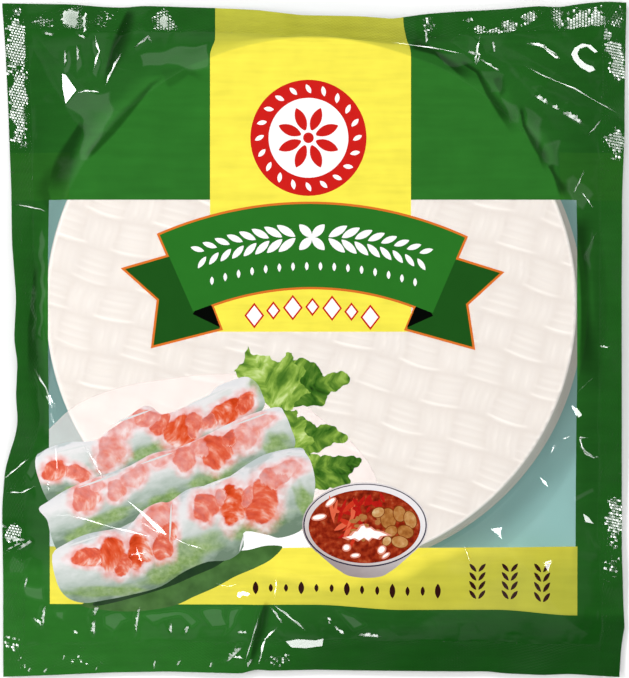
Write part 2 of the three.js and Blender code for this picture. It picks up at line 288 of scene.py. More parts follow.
# The studio, in millimetres: a ring of strip lights, two soft panels (azimuth, angle from
# straight up, both in degrees, and radiance), and the height that the pack is seen from.
LIGHT_RADIUS = 1150.0
LIGHT_HEIGHT = 800.0
STRIP_REACH = math.radians(11)
SOFT_PANELS = {"panel left": (148, 43, 0.66), "panel right": (35, 43, 0.42)}
EYE_HEIGHT = 1600.0

# Deep soft folds, dented into the film, with painted shade in their ink where the film turns down
# and away: path, half width, depth.
DARK_FOLDS = [
    ([(-94.3, 74.3), (-83.0, 86.4), (-66.9, 105.2), (-58, 111)], 1.9, 0.8),
    ([(-62.0, 106.0), (-52.0, 110.5), (-45.0, 107.5)], 3.4, 0.4),
    ([(-75.9, 137.5), (-80.8, 124.1), (-87.5, 104.4)], 2.8, 1.0),
    ([(-95.6, 90.0), (-102.8, 75.7), (-110.4, 59.5)], 4.0, 0.9),
    ([(40.1, 122.4), (50.8, 118.4), (60.4, 111.0), (67.0, 107.2)], 3.0, 1.0),
    ([(60.5, 115.3), (67.9, 110.6), (72.4, 101.7), (80.4, 90.0), (84.0, 84.0)], 2.2, 1.0),
    ([(85.8, 96.3), (87.1, 88.4), (91.0, 81.4), (94.3, 76.3), (97, 68)], 1.9, 1.0),
    ([(75.5, 108.5), (78.0, 103.0), (77.5, 99.0)], 1.9, 0.6),
    ([(97.5, 72.5), (100.5, 66.0), (104.5, 58.0)], 2.4, 1.0),
    ([(109.4, 52.0), (111.4, 30.0), (112.4, 5.0), (113.2, -26)], 5.0, 1.0),
    ([(-115.6, 30.0), (-117.5, 5.0), (-116.5, -20.0)], 2.2, 0.7),
    ([(-108.0, 50.0), (-112.0, 62.0), (-107.0, 74.0)], 2.4, 0.5),
    ([(-19.1, -109.0), (-23.6, -125.2), (-27.1, -138.6)], 2.0, 1.4),
]

# How strongly the slack film is crumpled: place, reach, strength. It is 0.07 everywhere else.
CRUMPLED_PLACES = [
    (-95, 103, 26, 0.16),
    (96, 100, 28, 0.20),
    (-112, -110, 24, 0.08),
    (-15, -122, 20, 0.18),
    (-118, -40, 24, 0.12),
]

# Patches of the seal where the sealing bar bit deepest, which sparkle: place, reach across and up,
# strength, and the side whose light they catch.
BITTEN_SEAL = [
    (-124.5, 121, 4.5, 13, 1.0, "left"),
    (-123.5, 100, 4.2, 13, 1.0, "left"),
    (-122.5, 86, 3.5, 7, 0.7, "left"),
    (-99.5, 132.5, 7.5, 4.5, 1.1, "top"),
    (-88, 132.5, 6, 4, 0.55, "top"),
    (-111, 132.0, 8, 2.2, 0.65, "top"),
    (-62, 131, 5.5, 5, 1.0, "top"),
    (48, 130.5, 3.5, 4, 0.7, "top"),
    (64.5, 132.2, 2.6, 1.6, 0.7, "top"),
    (69.5, 129.0, 3, 1.9, 0.8, "top"),
    (75.5, 127.4, 4, 2.4, 1.0, "top"),
    (82.0, 130.4, 4, 2.6, 1.0, "top"),
    (89.0, 133.6, 4.6, 2.4, 0.9, "top"),
    (101.0, 134.0, 3.2, 4.5, 0.9, "top"),
    (110.5, 132.0, 5, 5, 1.1, "top"),
    (119.0, 133.0, 4.5, 4.5, 0.9, "top"),
    (126.0, 133.5, 3.2, 4.5, 0.7, "top"),
    (121.5, 126.5, 3.6, 3, 1.0, "right"),
    (124.5, 121.0, 3.2, 4, 1.1, "right"),
    (126.5, 114.0, 3.6, 6.5, 1.0, "right"),
    (125.5, 82, 4, 6, 0.9, "right"),
    (-126, -81, 4, 4, 0.9, "left"),
    (-126, -128, 4, 7, 0.4, "left"),
    (125, -76, 4, 9, 0.8, "right"),
    (124, -94, 4, 6, 0.5, "right"),
    (-15, -134, 8, 3, 0.5, "bottom"),
    (-122, -134, 5, 3, 0.4, "bottom"),
    (-96, -134.5, 9, 2.5, 0.33, "bottom"),
]
# A real sealing bar's knurling is about 0.6 mm; it is drawn at twice that so that it shows. How
# steep its faces are, and which way and how much steeper each of them lies.
KNURL_PITCH = 1.2
KNURL_SLOPE = 0.5
KNURL_FACES = {"left": (180, 1.0), "right": (0, 1.0), "top": (77.6, 1.024), "bottom": (257.6, 1.024)}

# Places where the edge of the pack curls: centre, reach across, reach up, height.
CURLS = [
    (-129, 112, 7.5, 26, -1.4),
    (-101, 137, 13, 6.5, 1.6),
    (-66, 136, 9, 6, 1.2),
    (88, 136, 12, 6.5, 1.4),
    (120, 133, 9, 7, 1.8),
    (128, 84, 5, 9, 1.2),
    (127, -98, 6, 11, 1.0),
    (-124, -124, 6, 12, 1.0),
]

# How finely the flat film is cut: the grid, the film's edge, and the outlines of print and flashes.
FINE_STEP = 0.5
EDGE_STEP = 0.7
OUTLINE_STEP = 0.9
FLASH_STEP = 0.6


def rise(low, high, value):
    """0 below low, 1 above high, and a smooth ramp between."""
    share = np.clip((value - low) / (high - low), 0, 1)
    return share * share * (3 - 2 * share)


def edge_shift(side, along):
    """How far a side lies from the straight edge of the flat film, with its corners smoothed."""
    places, reach = zip(*EDGE_LINES[side])
    line = sum(np.interp(along + offset, places, reach) for offset in (-2, 0, 2)) / 3
    half = {"left": -PACK_WIDTH, "right": PACK_WIDTH, "bottom": -PACK_LENGTH, "top": PACK_LENGTH}[side] / 2
    return line - half


def place_on_pack(s, t):
    """Takes a point of the flat printed film to where it lies, seen from above."""
    half_width, half_length = PACK_WIDTH / 2, PACK_LENGTH / 2

    def near(distance):
        return 1 - rise(SEAL_WIDTH["left"], PULL_REACH, distance)

    x = s + edge_shift("left", t) * near(s + half_width) + edge_shift("right", t) * near(half_width - s)
    y = t + edge_shift("bottom", s) * near(t + half_length) + edge_shift("top", s) * near(half_length - t)
    # Both sides of the yellow band are drawn in at the top seal, and the yellow strip's lower edge
    # sags towards its right.
    at_seal = rise(117, 126, t)
    x = x + 1.9 * at_seal * np.exp(-(((s + 43) / 25) ** 2))
    x = x - (1 + 2 * rise(126, 139, t)) * at_seal * np.exp(-(((s - 41) / 20) ** 2))
    sag = 2.3 * rise(0, 38, s) + 2.5 * rise(75, 110, s)
    y = y - sag * np.exp(-(((t + 110) / 11) ** 2))
    return x, y


def flat_from_place(x, y):
    """The point of the flat film that lies at a place seen from above."""
    s, t = np.array(x, float), np.array(y, float)
    for _ in range(8):
        at_x, at_y = place_on_pack(s, t)
        s, t = s + x - at_x, t + y - at_y
    return s, t


def distance_to_line(x, y, start, end):
    """Distance from a line between two points, and how far along it the nearest point is."""
    run = np.subtract(end, start)
    along = np.clip(((x - start[0]) * run[0] + (y - start[1]) * run[1]) / run.dot(run), 0, 1)
    return np.hypot(x - start[0] - along * run[0], y - start[1] - along * run[1]), along


def slack_film(s, t, x, y):
    """Where a point is between the stack's rim and the seal: its distance from the rim, from the
    seal (below zero inside the seal), its share of the way, and the width of slack film there."""
    from_x, from_y = x - STACK_X, y - STACK_Y
    radius = np.hypot(from_x, from_y) + 1e-6
    slide = np.maximum(0, (from_x * SLIDE_X + from_y * SLIDE_Y) / radius)
    from_rim = radius - (SHEET_RADIUS + slide + FILM_TO_RIM)
    to_seal = np.minimum.reduce([
        s + PACK_WIDTH / 2 - SEAL_WIDTH["left"],
        PACK_WIDTH / 2 - s - SEAL_WIDTH["right"],
        t + PACK_LENGTH / 2 - SEAL_WIDTH["bottom"],
        PACK_LENGTH / 2 - t - SEAL_WIDTH["top"],
    ])
    past_rim = np.maximum(from_rim, 0)
    slack = np.maximum(past_rim + to_seal, 0.8)
    share = np.clip(past_rim / slack, 0, 1)
    return from_rim, to_seal, share, slack


def seal_height(x, y, slack):
    """How high a seal lies, with its slight waves."""
    wave = 0.35 * np.sin(x / 13.0 + 0.6) * np.sin(y / 17.0 + 1.1) + 0.15 * np.sin(x / 5.1) * np.sin(y / 6.3)
    return LOW_SEAL + (LIFTED_SEAL - LOW_SEAL) * np.exp(-slack / SLACK_WIDTH) + wave


@functools.lru_cache(maxsize=None)
def crumple_net():
    """A net of points with heights, joined by triangles, that the slack film is folded into: each
    triangle is one flat facet, and each side of it is a crease."""
    random = np.random.default_rng(41)
    points, heights = [], []

    def add(x, y, height):
        points.append((float(x), float(y)))
        heights.append(float(height))

    for step in range(64):
        angle = 2 * math.pi * step / 64
        slide = max(0.0, math.cos(angle) * SLIDE_X + math.sin(angle) * SLIDE_Y)
        radius = SHEET_RADIUS + slide + FILM_TO_RIM + 0.2
        add(STACK_X + radius * math.cos(angle), STACK_Y + radius * math.sin(angle), 0)
    inner = {
        "left": -PACK_WIDTH / 2 + SEAL_WIDTH["left"],
        "right": PACK_WIDTH / 2 - SEAL_WIDTH["right"],
        "bottom": -PACK_LENGTH / 2 + SEAL_WIDTH["bottom"],
        "top": PACK_LENGTH / 2 - SEAL_WIDTH["top"],
    }
    for share in np.linspace(0, 1, 28)[:-1]:
        share = share + random.uniform(-0.01, 0.01)
        across = inner["left"] + share * (inner["right"] - inner["left"])
        up = inner["bottom"] + share * (inner["top"] - inner["bottom"])
        for s, t in ((across, inner["bottom"]), (across, inner["top"]),
                     (inner["left"], up), (inner["right"], up)):
            x, y = place_on_pack(np.array([s]), np.array([t]))
            add(x[0], y[0], random.uniform(-0.15, 0.15))
    spacing = 11.5
    for column in np.arange(-PACK_WIDTH / 2, PACK_WIDTH / 2, spacing):
        for row in np.arange(-PACK_LENGTH / 2, PACK_LENGTH / 2, spacing):
            s = np.array([column + random.uniform(0, spacing)])
            t = np.array([row + random.uniform(0, spacing)])
            height = random.uniform(-1, 1)
            x, y = place_on_pack(s, t)
            from_rim, to_seal, _, slack = slack_film(s, t, x, y)
            if from_rim[0] > 1.5 and to_seal[0] > 1.5:
                strength = 0.07 + sum(
                    extra * math.exp(-((x[0] - at_x) ** 2 + (y[0] - at_y) ** 2) / reach**2)
                    for at_x, at_y, reach, extra in CRUMPLED_PLACES)
                add(x[0], y[0], 1.3 * strength * height * min(1.0, slack[0] / 16))
    for x, y in ((-1, -1), (1, -1), (1, 1), (-1, 1)):
        add(x * PACK_WIDTH, y * PACK_LENGTH, 0)
    net_points, _, triangles, origins, _, _ = delaunay_2d_cdt([Vector(p) for p in points], [], [], 0, 1e-4)
    net_heights = [heights[origin[0]] for origin in origins]
    return np.array([tuple(p) for p in net_points]), np.array(net_heights), np.array(triangles)


def crumple_height(x, y):
    """The height of the crumpled net at each point."""
    points, heights, triangles = crumple_net()
    total = np.zeros_like(x)
    for a, b, c in triangles:
        corner = points[[a, b, c]]
        low, high = corner.min(0) - 1e-6, corner.max(0) + 1e-6
        near = np.flatnonzero((x >= low[0]) & (x <= high[0]) & (y >= low[1]) & (y <= high[1]))
        if not len(near):
            continue
        first, second = corner[1] - corner[0], corner[2] - corner[0]
        area = first[0] * second[1] - first[1] * second[0]
        px, py = x[near] - corner[0][0], y[near] - corner[0][1]
        to_b = (px * second[1] - py * second[0]) / area
        to_c = (py * first[0] - px * first[1]) / area
        inside = (to_b >= -1e-6) & (to_c >= -1e-6) & (to_b + to_c <= 1 + 1e-6)
        height = heights[a] + to_b * (heights[b] - heights[a]) + to_c * (heights[c] - heights[a])
        total[near[inside]] = height[inside]
    return total


@functools.lru_cache(maxsize=None)
def gathers():
    """Short soft pleats that run from the seal into the slack film: path, height, half width."""
    random = np.random.default_rng(12)
    found = []
    half_width, half_length = PACK_WIDTH / 2, PACK_LENGTH / 2
    for side, count, length in (("bottom", 26, 13), ("top", 14, 7), ("left", 16, 8), ("right", 16, 9)):
        for number in range(count):
            along = (number + random.uniform(0.1, 0.9)) / count * 2 - 1
            reach = length * random.uniform(0.4, 1.0)
            lean = random.normal(0, 0.18) * reach
            height = random.uniform(0.03, 0.13)
            half = random.uniform(1.3, 3.2)
            sign = 1 if side in ("left", "bottom") else -1
            if side in ("left", "right"):
                s = -sign * (half_width - SEAL_WIDTH[side] - 0.4)
                t = along * half_length
                ends = ((s, t), (s + sign * reach, t + lean))
            else:
                s = along * half_width
                t = -sign * (half_length - SEAL_WIDTH[side] - 0.4)
                ends = ((s, t), (s + lean, t + sign * reach))
            found.append((np.column_stack(place_on_pack(*np.transpose(ends))), height, half))
    return found


def lengths_along(path):
    """How far along a path each of its points is."""
    return np.concatenate([[0], np.cumsum(np.linalg.norm(np.diff(path, axis=0), axis=1))])


def near_path(x, y, path, reach):
    """The points within reach of a path: their numbers, their distance from it (above zero to its
    left), how far along it they are, from 0 to 1, and which way it heads there."""
    path = np.array(path, float)
    low, high = path.min(0) - reach, path.max(0) + reach
    near = np.flatnonzero((x > low[0]) & (x < high[0]) & (y > low[1]) & (y < high[1]))
    px, py = x[near], y[near]
    lengths = lengths_along(path)
    best = np.full(len(near), 1e9)
    side, share, heading = np.ones(len(near)), np.zeros(len(near)), np.zeros(len(near))
    for index, (start, end) in enumerate(zip(path[:-1], path[1:])):
        distance, along = distance_to_line(px, py, start, end)
        run = end - start
        left = -(px - start[0]) * run[1] + (py - start[1]) * run[0]
        nearer = distance < best
        best = np.where(nearer, distance, best)
        side = np.where(nearer, np.where(left >= 0, 1.0, -1.0), side)
        reached = (lengths[index] + along * (lengths[index + 1] - lengths[index])) / lengths[-1]
        share = np.where(nearer, reached, share)
        heading = np.where(nearer, math.atan2(run[1], run[0]), heading)
    return near, best * side, share, heading


def add_ridge(front, x, y, path, height, left_width, right_width, mask):
    """A ridge with one flank to each side of its path, dying out towards its ends."""
    near, distance, share, _ = near_path(x, y, path, 3 * max(left_width, right_width))
    width = np.where(distance > 0, left_width, right_width)
    body = np.exp(-((distance / width) ** 2))
    fade = rise(0.0, 0.2, share + 0.03) * (1 - rise(0.6, 1.0, share))
    front[near] += height * body * fade * mask[near]


def facet_frame(x, y, start, end, reach):
    """The points near a facet's foot line, and their places along it and to its left."""
    start, end = np.array(start, float), np.array(end, float)
    run = end - start
    length = np.linalg.norm(run)
    run /= length
    near = np.flatnonzero((x - start[0]) ** 2 + (y - start[1]) ** 2 < (length + reach) ** 2)
    along = (x[near] - start[0]) * run[0] + (y[near] - start[1]) * run[1]
    across = -(x[near] - start[0]) * run[1] + (y[near] - start[1]) * run[0]
    return near, along, across, length, math.atan2(run[1], run[0])


def add_bright_facet(front, x, y, start, end, width):
    """Raises a small flat facet by lifting the film to its plane."""
    near, along, across, length, _ = facet_frame(x, y, start, end, 3 * width)

    def height_at(point):
        return front[np.argmin((x - point[0]) ** 2 + (y - point[1]) ** 2)]

    foot = height_at(start) + (height_at(end) - height_at(start)) * np.clip(along / length, 0, 1)
    plane = foot + FACET_SLOPE * across
    back = foot + FACET_SLOPE * width - 0.25 * (across - width)
    beyond = np.maximum(0, np.maximum(-along, along - length))
    facet = np.minimum(plane, back) - 0.25 * beyond + 0.02
    front[near] = np.maximum(front[near], np.where(across > -1, facet, -1e3))


def half_way(place, toward):
    """The normals with which film at these places mirrors what lies in a direction to the eye."""
    to_eye = np.array([0.0, 0.0, EYE_HEIGHT]) - place
    to_eye /= np.linalg.norm(to_eye, axis=1)[:, None]
    toward = toward / np.linalg.norm(toward, axis=1)[:, None]
    middle = to_eye + toward
    return middle / np.linalg.norm(middle, axis=1)[:, None]


def toward_panel(azimuth, from_top):
    """The direction of a soft panel's middle."""
    turn, tilt = math.radians(azimuth), math.radians(from_top)
    return math.cos(turn) * math.sin(tilt), math.sin(turn) * math.sin(tilt), math.cos(tilt)


def toward_light(place, azimuth):
    """From these places to the nearest strip light in the given azimuths."""
    off = (azimuth + math.pi / 8) % (math.pi / 4) - math.pi / 8
    on_strip = np.clip(off, -STRIP_REACH, STRIP_REACH)
    turn = azimuth - off + on_strip
    radius = LIGHT_RADIUS / np.cos(on_strip)
    light = np.column_stack([radius * np.cos(turn), radius * np.sin(turn), np.full(len(place), LIGHT_HEIGHT)])
    return light - place


# The steepest that the film's gloss sees anywhere but on the chosen folds.
CALM_SLOPE = 0.24


def calmed(normals):
    """Holds the normals back from the tilt that mirrors a strip light."""
    slope = normals[:, :2] / normals[:, 2:]
    steepness = np.maximum(np.linalg.norm(slope, axis=1), 1e-6)
    slope = slope * (CALM_SLOPE * np.tanh(steepness / CALM_SLOPE) / steepness)[:, None]
    turned = np.column_stack([slope, np.ones(len(slope))])
    return turned / np.linalg.norm(turned, axis=1)[:, None]


def to_outline(corners, x, y):
    """The distance from the nearest side of an outline, above zero inside it."""
    distance = np.min([distance_to_line(x, y, start, end)[0]
                       for start, end in zip(corners, corners[1:] + corners[:1])], axis=0)
    return np.where(inside(corners, x, y), distance, -distance)


def flank_width(width, path, share):
    """How wide a crease's bright flank is along it: uneven, and pointed at its ends."""
    return width * (1 + 0.4 * np.sin(share * 17 + path[0][0])) * np.sqrt(np.maximum(np.sin(np.pi * share), 0))


def facet_reach(share, length, width, start):
    """How far a small bright facet reaches from its foot line: uneven, and pointed at its ends."""
    ragged = 0.22 * np.sin(share * length * 1.9 + start[0]) + 0.16 * np.sin(share * length * 4.1)
    return width * np.sqrt(np.maximum(0, 1 - (2 * share - 1) ** 2)) * (1 + ragged)


def flash_outlines():
    """The outlines of all that flashes, seen from above, so that the film can be cut along them."""
    outlines = [list(corners) for mirrored, corners in MIRROR_FACETS if mirrored not in SOFT_PANELS]
    for steep_side, width, path in CREASES:
        sign = 1 if steep_side == "left" else -1
        path = np.array(path, float)
        lengths = lengths_along(path)
        reach = np.union1d(np.linspace(0, lengths[-1], math.ceil(lengths[-1] / FLASH_STEP) + 1), lengths)
        line = np.column_stack([np.interp(reach, lengths, path[:, k]) for k in (0, 1)])
        run = np.gradient(line, axis=0)
        run /= np.linalg.norm(run, axis=1)[:, None]
        out = sign * np.column_stack([-run[:, 1], run[:, 0]])
        flank = line + out * flank_width(width, path, reach / lengths[-1])[:, None]
        outlines.append(line.tolist() + flank[-2:0:-1].tolist())
    for start, end, width in BRIGHT_FACETS:
        run = np.subtract(end, start)
        length = np.linalg.norm(run)
        up = np.array([-run[1], run[0]]) / length
        share = np.linspace(0, 1, math.ceil(length / FLASH_STEP) + 1)[:, None]
        foot = np.array(start) + share * run + 0.1 * up
        top = np.array(start) + share * run + up * np.maximum(facet_reach(share, length, width, start), 0.1)
        outlines.append(foot.tolist() + top[-2:0:-1].tolist())
    return outlines


def faded(normals, share, azimuth, start):
    """Flashing normals, turned off the light little by little toward the ends of what flashes."""
    detune = 0.06 * np.abs(2 * share - 1) ** 4 + 0.018 * np.sin(share * 9 + start[0]) ** 2
    outward = np.column_stack([np.cos(azimuth), np.sin(azimuth), np.zeros(len(share))])
    turned = normals + detune[:, None] * outward
    return turned / np.linalg.norm(turned, axis=1)[:, None]


def with_flashes(place, normals, to_seal):
    """Turns the film's normals on the creases and the facets so that they catch a light, as the
    stiff film's sharp folds do somewhere along each of them. Gives the film's calm normals, and the
    flashing ones, which are zero where nothing flashes."""
    x, y = place[:, 0], place[:, 1]
    normals = calmed(normals)
    flashing = np.zeros_like(normals)
    for centre_x, centre_y, reach_x, reach_y, _, side in BITTEN_SEAL:
        far = np.hypot((x - centre_x) / reach_x, (y - centre_y) / reach_y)
        near = np.flatnonzero((far < 2) & (to_seal < 0.5))
        azimuth = math.radians(KNURL_FACES[side][0])
        wanted = half_way(place[near], toward_light(place[near], np.full(len(near), azimuth)))
        slope = wanted[:, :2] / wanted[:, 2:]
        slope -= KNURL_SLOPE * KNURL_FACES[side][1] * np.array([math.cos(azimuth), math.sin(azimuth)])
        turned = np.column_stack([slope, np.ones(len(slope))])
        turned /= np.linalg.norm(turned, axis=1)[:, None]
        weight = (1 - rise(1.2, 1.9, far[near]))[:, None]
        normals[near] = (1 - weight) * normals[near] + weight * turned
    for mirrored, corners in MIRROR_FACETS:
        low, high = np.min(corners, 0) - 3, np.max(corners, 0) + 3
        near = np.flatnonzero((x > low[0]) & (x < high[0]) & (y > low[1]) & (y < high[1]))
        if mirrored in SOFT_PANELS:
            within = to_outline(corners, x[near] + 0.5 * np.sin(y[near] / 1.7),
                                y[near] + 0.5 * np.sin(x[near] / 2.1))
            weight = rise(-1.0, 1.4, within)[:, None]
            turned = half_way(place[near], np.array([toward_panel(*SOFT_PANELS[mirrored][:2])]))
            turned[:, 0] += 0.03 * np.sin(x[near] / 4.3 + y[near] / 2.9)
            turned[:, 1] += 0.03 * np.sin(y[near] / 3.7 - x[near] / 5.1)
            normals[near] = (1 - weight) * normals[near] + weight * turned
        else:
            within = to_outline(corners, x[near], y[near]) + 0.06
            near = near[within > 0]
            azimuth = np.full(len(near), math.radians(mirrored))
            flashing[near] = half_way(place[near], toward_light(place[near], azimuth))
    for steep_side, width, path in CREASES:
        near, distance, share, heading = near_path(x, y, path, 2.0)
        sign = 1 if steep_side == "left" else -1
        hit = (distance * sign > -0.06) & (distance * sign < flank_width(width, path, share) + 0.06)
        hit &= (share > 0.001) & (share < 0.999)
        chosen, azimuth = near[hit], heading[hit] + sign * math.pi / 2
        toward = half_way(place[chosen], toward_light(place[chosen], azimuth))
        flashing[chosen] = faded(toward, share[hit], azimuth, path[0])
    for start, end, width in BRIGHT_FACETS:
        near, along, across, length, heading = facet_frame(x, y, start, end, 3 * width)
        reach = facet_reach(along / length, length, width, start)
        hit = (along > -0.01) & (along < length + 0.01) & (across > 0.04) & (across < reach + 0.06)
        chosen, azimuth = near[hit], np.full(hit.sum(), heading - math.pi / 2)
        toward = half_way(place[chosen], toward_light(place[chosen], azimuth))
        flashing[chosen] = faded(toward, along[hit] / length, azimuth, start)
    return normals / np.linalg.norm(normals, axis=1)[:, None], flashing


def painted_fold_shade(x, y):
    """How much painted shade darkens the ink: 0 on open film and up to 1 along the deep folds, which
    are crisper on their right.
    """
    total = np.zeros_like(x)
    for path, half_width, depth in DARK_FOLDS:
        near, distance, share, _ = near_path(x, y, path, 3 * half_width)
        fade = rise(0.0, 0.12, share + 0.02) * (1 - rise(0.7, 1.0, share))
        width = half_width * (0.75 + 0.35 * np.sin(share * 5 + path[0][0]))
        body = 1 - rise(0.45, 1.0, -distance / width)
        body = np.where(distance > 0, 1 - rise(0.1, 2.0, distance / width), body)
        total[near] = np.maximum(total[near], min(1.0, depth) * body * fade)
    return total


def film_heights(s, t, x, y):
    """The height of the front film and of the back film at the same place."""
    from_rim, to_seal, share, slack = slack_film(s, t, x, y)
    seal = seal_height(x, y, slack)
    top = STACK_TOP + FILM_TO_PAPER
    front = seal + (top - seal) * (1 - share) ** 1.5
    free = np.sin(np.pi * share)
    soft_folds = np.zeros_like(x)
    for start, end, height, width in FOLDS:
        distance, _ = distance_to_line(x, y, start, end)
        soft_folds += 0.6 * height * np.exp(-((distance / width) ** 2))
    front += soft_folds * free
    wander_x = x + 0.35 * np.sin(y / 1.9 + 1.3 * np.sin(x / 2.7)) + 0.5 * np.sin(y / 6.3 + 0.7)
    wander_y = y + 0.35 * np.sin(x / 2.1 + 1.3 * np.sin(y / 2.9)) + 0.5 * np.sin(x / 5.7 + 2.1)
    in_slack = rise(-1.0, 1.5, from_rim)
    outside_seal = rise(-1.0, 0.8, to_seal)
    front += crumple_height(wander_x, wander_y) * rise(0, 1.5, from_rim) * outside_seal
    for path, height, half_width in gathers():
        add_ridge(front, wander_x, wander_y, path, height, half_width, half_width,
                  in_slack * rise(-1.5, 0.5, to_seal))
    for path, half_width, depth in DARK_FOLDS:
        add_ridge(front, wander_x, wander_y, path, -0.5 * depth, half_width, half_width, 0.3 + 0.7 * in_slack)
    everywhere = np.ones_like(x)
    for steep_side, _, path in CREASES:
        left, right = (CREASE_STEEP, CREASE_GENTLE) if steep_side == "left" else (CREASE_GENTLE, CREASE_STEEP)
        add_ridge(front, wander_x, wander_y, path, CREASE_HEIGHT, left, right, everywhere)
    for start, end, width in BRIGHT_FACETS:
        add_bright_facet(front, wander_x, wander_y, start, end, width)
    curls = np.zeros_like(x)
    for centre_x, centre_y, reach_x, reach_y, height in CURLS:
        curls += height * np.exp(-(((x - centre_x) / reach_x) ** 2) - (((y - centre_y) / reach_y) ** 2))
    front += curls
    over_stack = 1 - rise(-6, 1, from_rim)
    front += 0.05 * over_stack * (1 + np.sin(x / 9.0 + 1.7 * np.sin(y / 21.0)) * np.sin(y / 11.0))
    back = np.maximum(seal - 0.15, 0.12) * share**1.6
    back += np.maximum(curls, -0.8) * rise(-4, 0, -to_seal) + 0.02
    back = np.maximum(back, 0.02)
    stack_line = np.where(from_rim < 0, STACK_TOP + FILM_TO_PAPER, back + 0.12)
    return np.maximum(front, stack_line), back


# ---------------------------------------------------------------------------------------------
# The print: outlines on the flat film
# ---------------------------------------------------------------------------------------------

Shape = namedtuple("Shape", "ink outline")

WINDOW = (-109.8, -86.4, 109.0, 57.5)
YELLOW_BAND = (-42.8, 2.9, 40.3, 145.0)
YELLOW_STRIP = (-109.8, -110.4, 109.8, -86.4)
# Where the back film's yellow bars shine through the green.
YELLOW_BEHIND = [(-145, 57.5, -101.0, 77.3), (102.0, 57.5, 145, 77.3)]
BADGE_CENTRE = (-2.1, 83.1)
BADGE_RADIUS = 24.0
BADGE_FIELD_RADIUS = 16.5
RIBBON_EDGE = 0.95


def rectangle(left, bottom, right, top):
    return [(left, bottom), (right, bottom), (right, top), (left, top)]


def ellipse(centre, across, up, turn=0.0, count=72):
    points = []
    for step in range(count):
        angle = 2 * math.pi * step / count
        x, y = across * math.cos(angle), up * math.sin(angle)
        points.append((centre[0] + x * math.cos(turn) - y * math.sin(turn),
                       centre[1] + x * math.sin(turn) + y * math.cos(turn)))
    return points


def grain(centre, length, width, turn):
    """A pointed grain, long axis turned from +X."""
    points = []
    for step in range(24):
        share = step / 12
        along = math.cos(math.pi * share)
        side = 1 if share <= 1 else -1
        across = side * (1 - along * along) ** 0.85
        x, y = along * length / 2, across * width / 2
        points.append((centre[0] + x * math.cos(turn) - y * math.sin(turn),
                       centre[1] + x * math.sin(turn) + y * math.cos(turn)))
    return points


def arc_through(start, middle, end, count=24):
    """Points of the circle through three points, from the first to the last."""
    (ax, ay), (bx, by), (cx, cy) = start, middle, end
    d = 2 * (ax * (by - cy) + bx * (cy - ay) + cx * (ay - by))
    ux = ((ax**2 + ay**2) * (by - cy) + (bx**2 + by**2) * (cy - ay) + (cx**2 + cy**2) * (ay - by)) / d
    uy = ((ax**2 + ay**2) * (cx - bx) + (bx**2 + by**2) * (ax - cx) + (cx**2 + cy**2) * (bx - ax)) / d
    radius = math.hypot(ax - ux, ay - uy)
    first = math.atan2(ay - uy, ax - ux)
    last = math.atan2(cy - uy, cx - ux)
    angles = np.linspace(first, last, count)
    return [(ux + radius * math.cos(angle), uy + radius * math.sin(angle)) for angle in angles]


def grown(outline, by):
    """The outline moved outwards by a distance, with its corners kept sharp."""
    points = np.array(outline, float)
    following = np.roll(points, -1, axis=0)
    area = np.sum(points[:, 0] * following[:, 1] - following[:, 0] * points[:, 1])
    turn = 1 if area > 0 else -1
    before = points - np.roll(points, 1, axis=0)
    after = following - points
    before /= np.linalg.norm(before, axis=1)[:, None]
    after /= np.linalg.norm(after, axis=1)[:, None]
    out_before = np.column_stack([before[:, 1], -before[:, 0]]) * turn
    out_after = np.column_stack([after[:, 1], -after[:, 0]]) * turn
    middle = out_before + out_after
    middle /= np.linalg.norm(middle, axis=1)[:, None]
    reach = by / np.clip(np.sum(middle * out_after, axis=1), 0.4, 1)
    return [tuple(p) for p in points + middle * reach[:, None]]


def smooth_path(points, count):
    """A Catmull-Rom curve through the points, as evenly numbered steps."""
    points = np.array(points, float)
    padded = np.vstack([2 * points[0] - points[1], points, 2 * points[-1] - points[-2]])
    result = []
    for step in np.linspace(0, len(points) - 1 - 1e-9, count):
        index = int(step)
        f = step - index
        p0, p1, p2, p3 = padded[index:index + 4]
        result.append(0.5 * (2 * p1 + (p2 - p0) * f + (2 * p0 - 5 * p1 + 4 * p2 - p3) * f**2
                             + (3 * p1 - p0 - 3 * p2 + p3) * f**3))
    return np.array(result)


# The ribbon

RIBBON_UPPER = ((-64.9, 43.4), (-3.5, 56.7), (63.9, 42.3))
RIBBON_LOWER = ((-41.2, 13.4), (-6.4, 20.3), (41.3, 12.7))
RIBBON_LEFT_END = (-50.3, 10.1)
RIBBON_RIGHT_END = (49.8, 9.4)
# Each tail with the part of it that lies behind the ribbon.
RIBBON_TAILS = (
    [(-52, 37.2), (-79.8, 29.2), (-64.9, 15.9), (-67.3, -4.0), (-37.4, 3.6), (-41.2, 13.4), (-45, 22)],
    [(52, 36.0), (79.0, 27.6), (64.1, 14.0), (66.9, -4.7), (37.4, 3.5), (41.3, 12.7), (45, 21)],
)
RIBBON_FOLDS = (
    [(-50.0, 10.2), (-46.0, 16.0), (-42.0, 13.6), (-38.6, 4.7)],
    [(49.5, 9.5), (45.5, 15.5), (42.0, 12.9), (38.6, 4.6)],
)


def ribbon_shapes():
    band = arc_through(*RIBBON_UPPER, 40) + [RIBBON_RIGHT_END] + arc_through(*reversed(RIBBON_LOWER), 30)
    band.append(RIBBON_LEFT_END)
    shapes = [Shape("ribbon_edge", outline) for outline in (*RIBBON_TAILS, band)]
    shapes += [Shape("ribbon_tail", grown(outline, -RIBBON_EDGE)) for outline in RIBBON_TAILS]
    shapes += [Shape("ribbon_fold", outline) for outline in RIBBON_FOLDS]
    shapes.append(Shape("ribbon_green", grown(band, -RIBBON_EDGE)))
    return shapes + ear_of_rice()


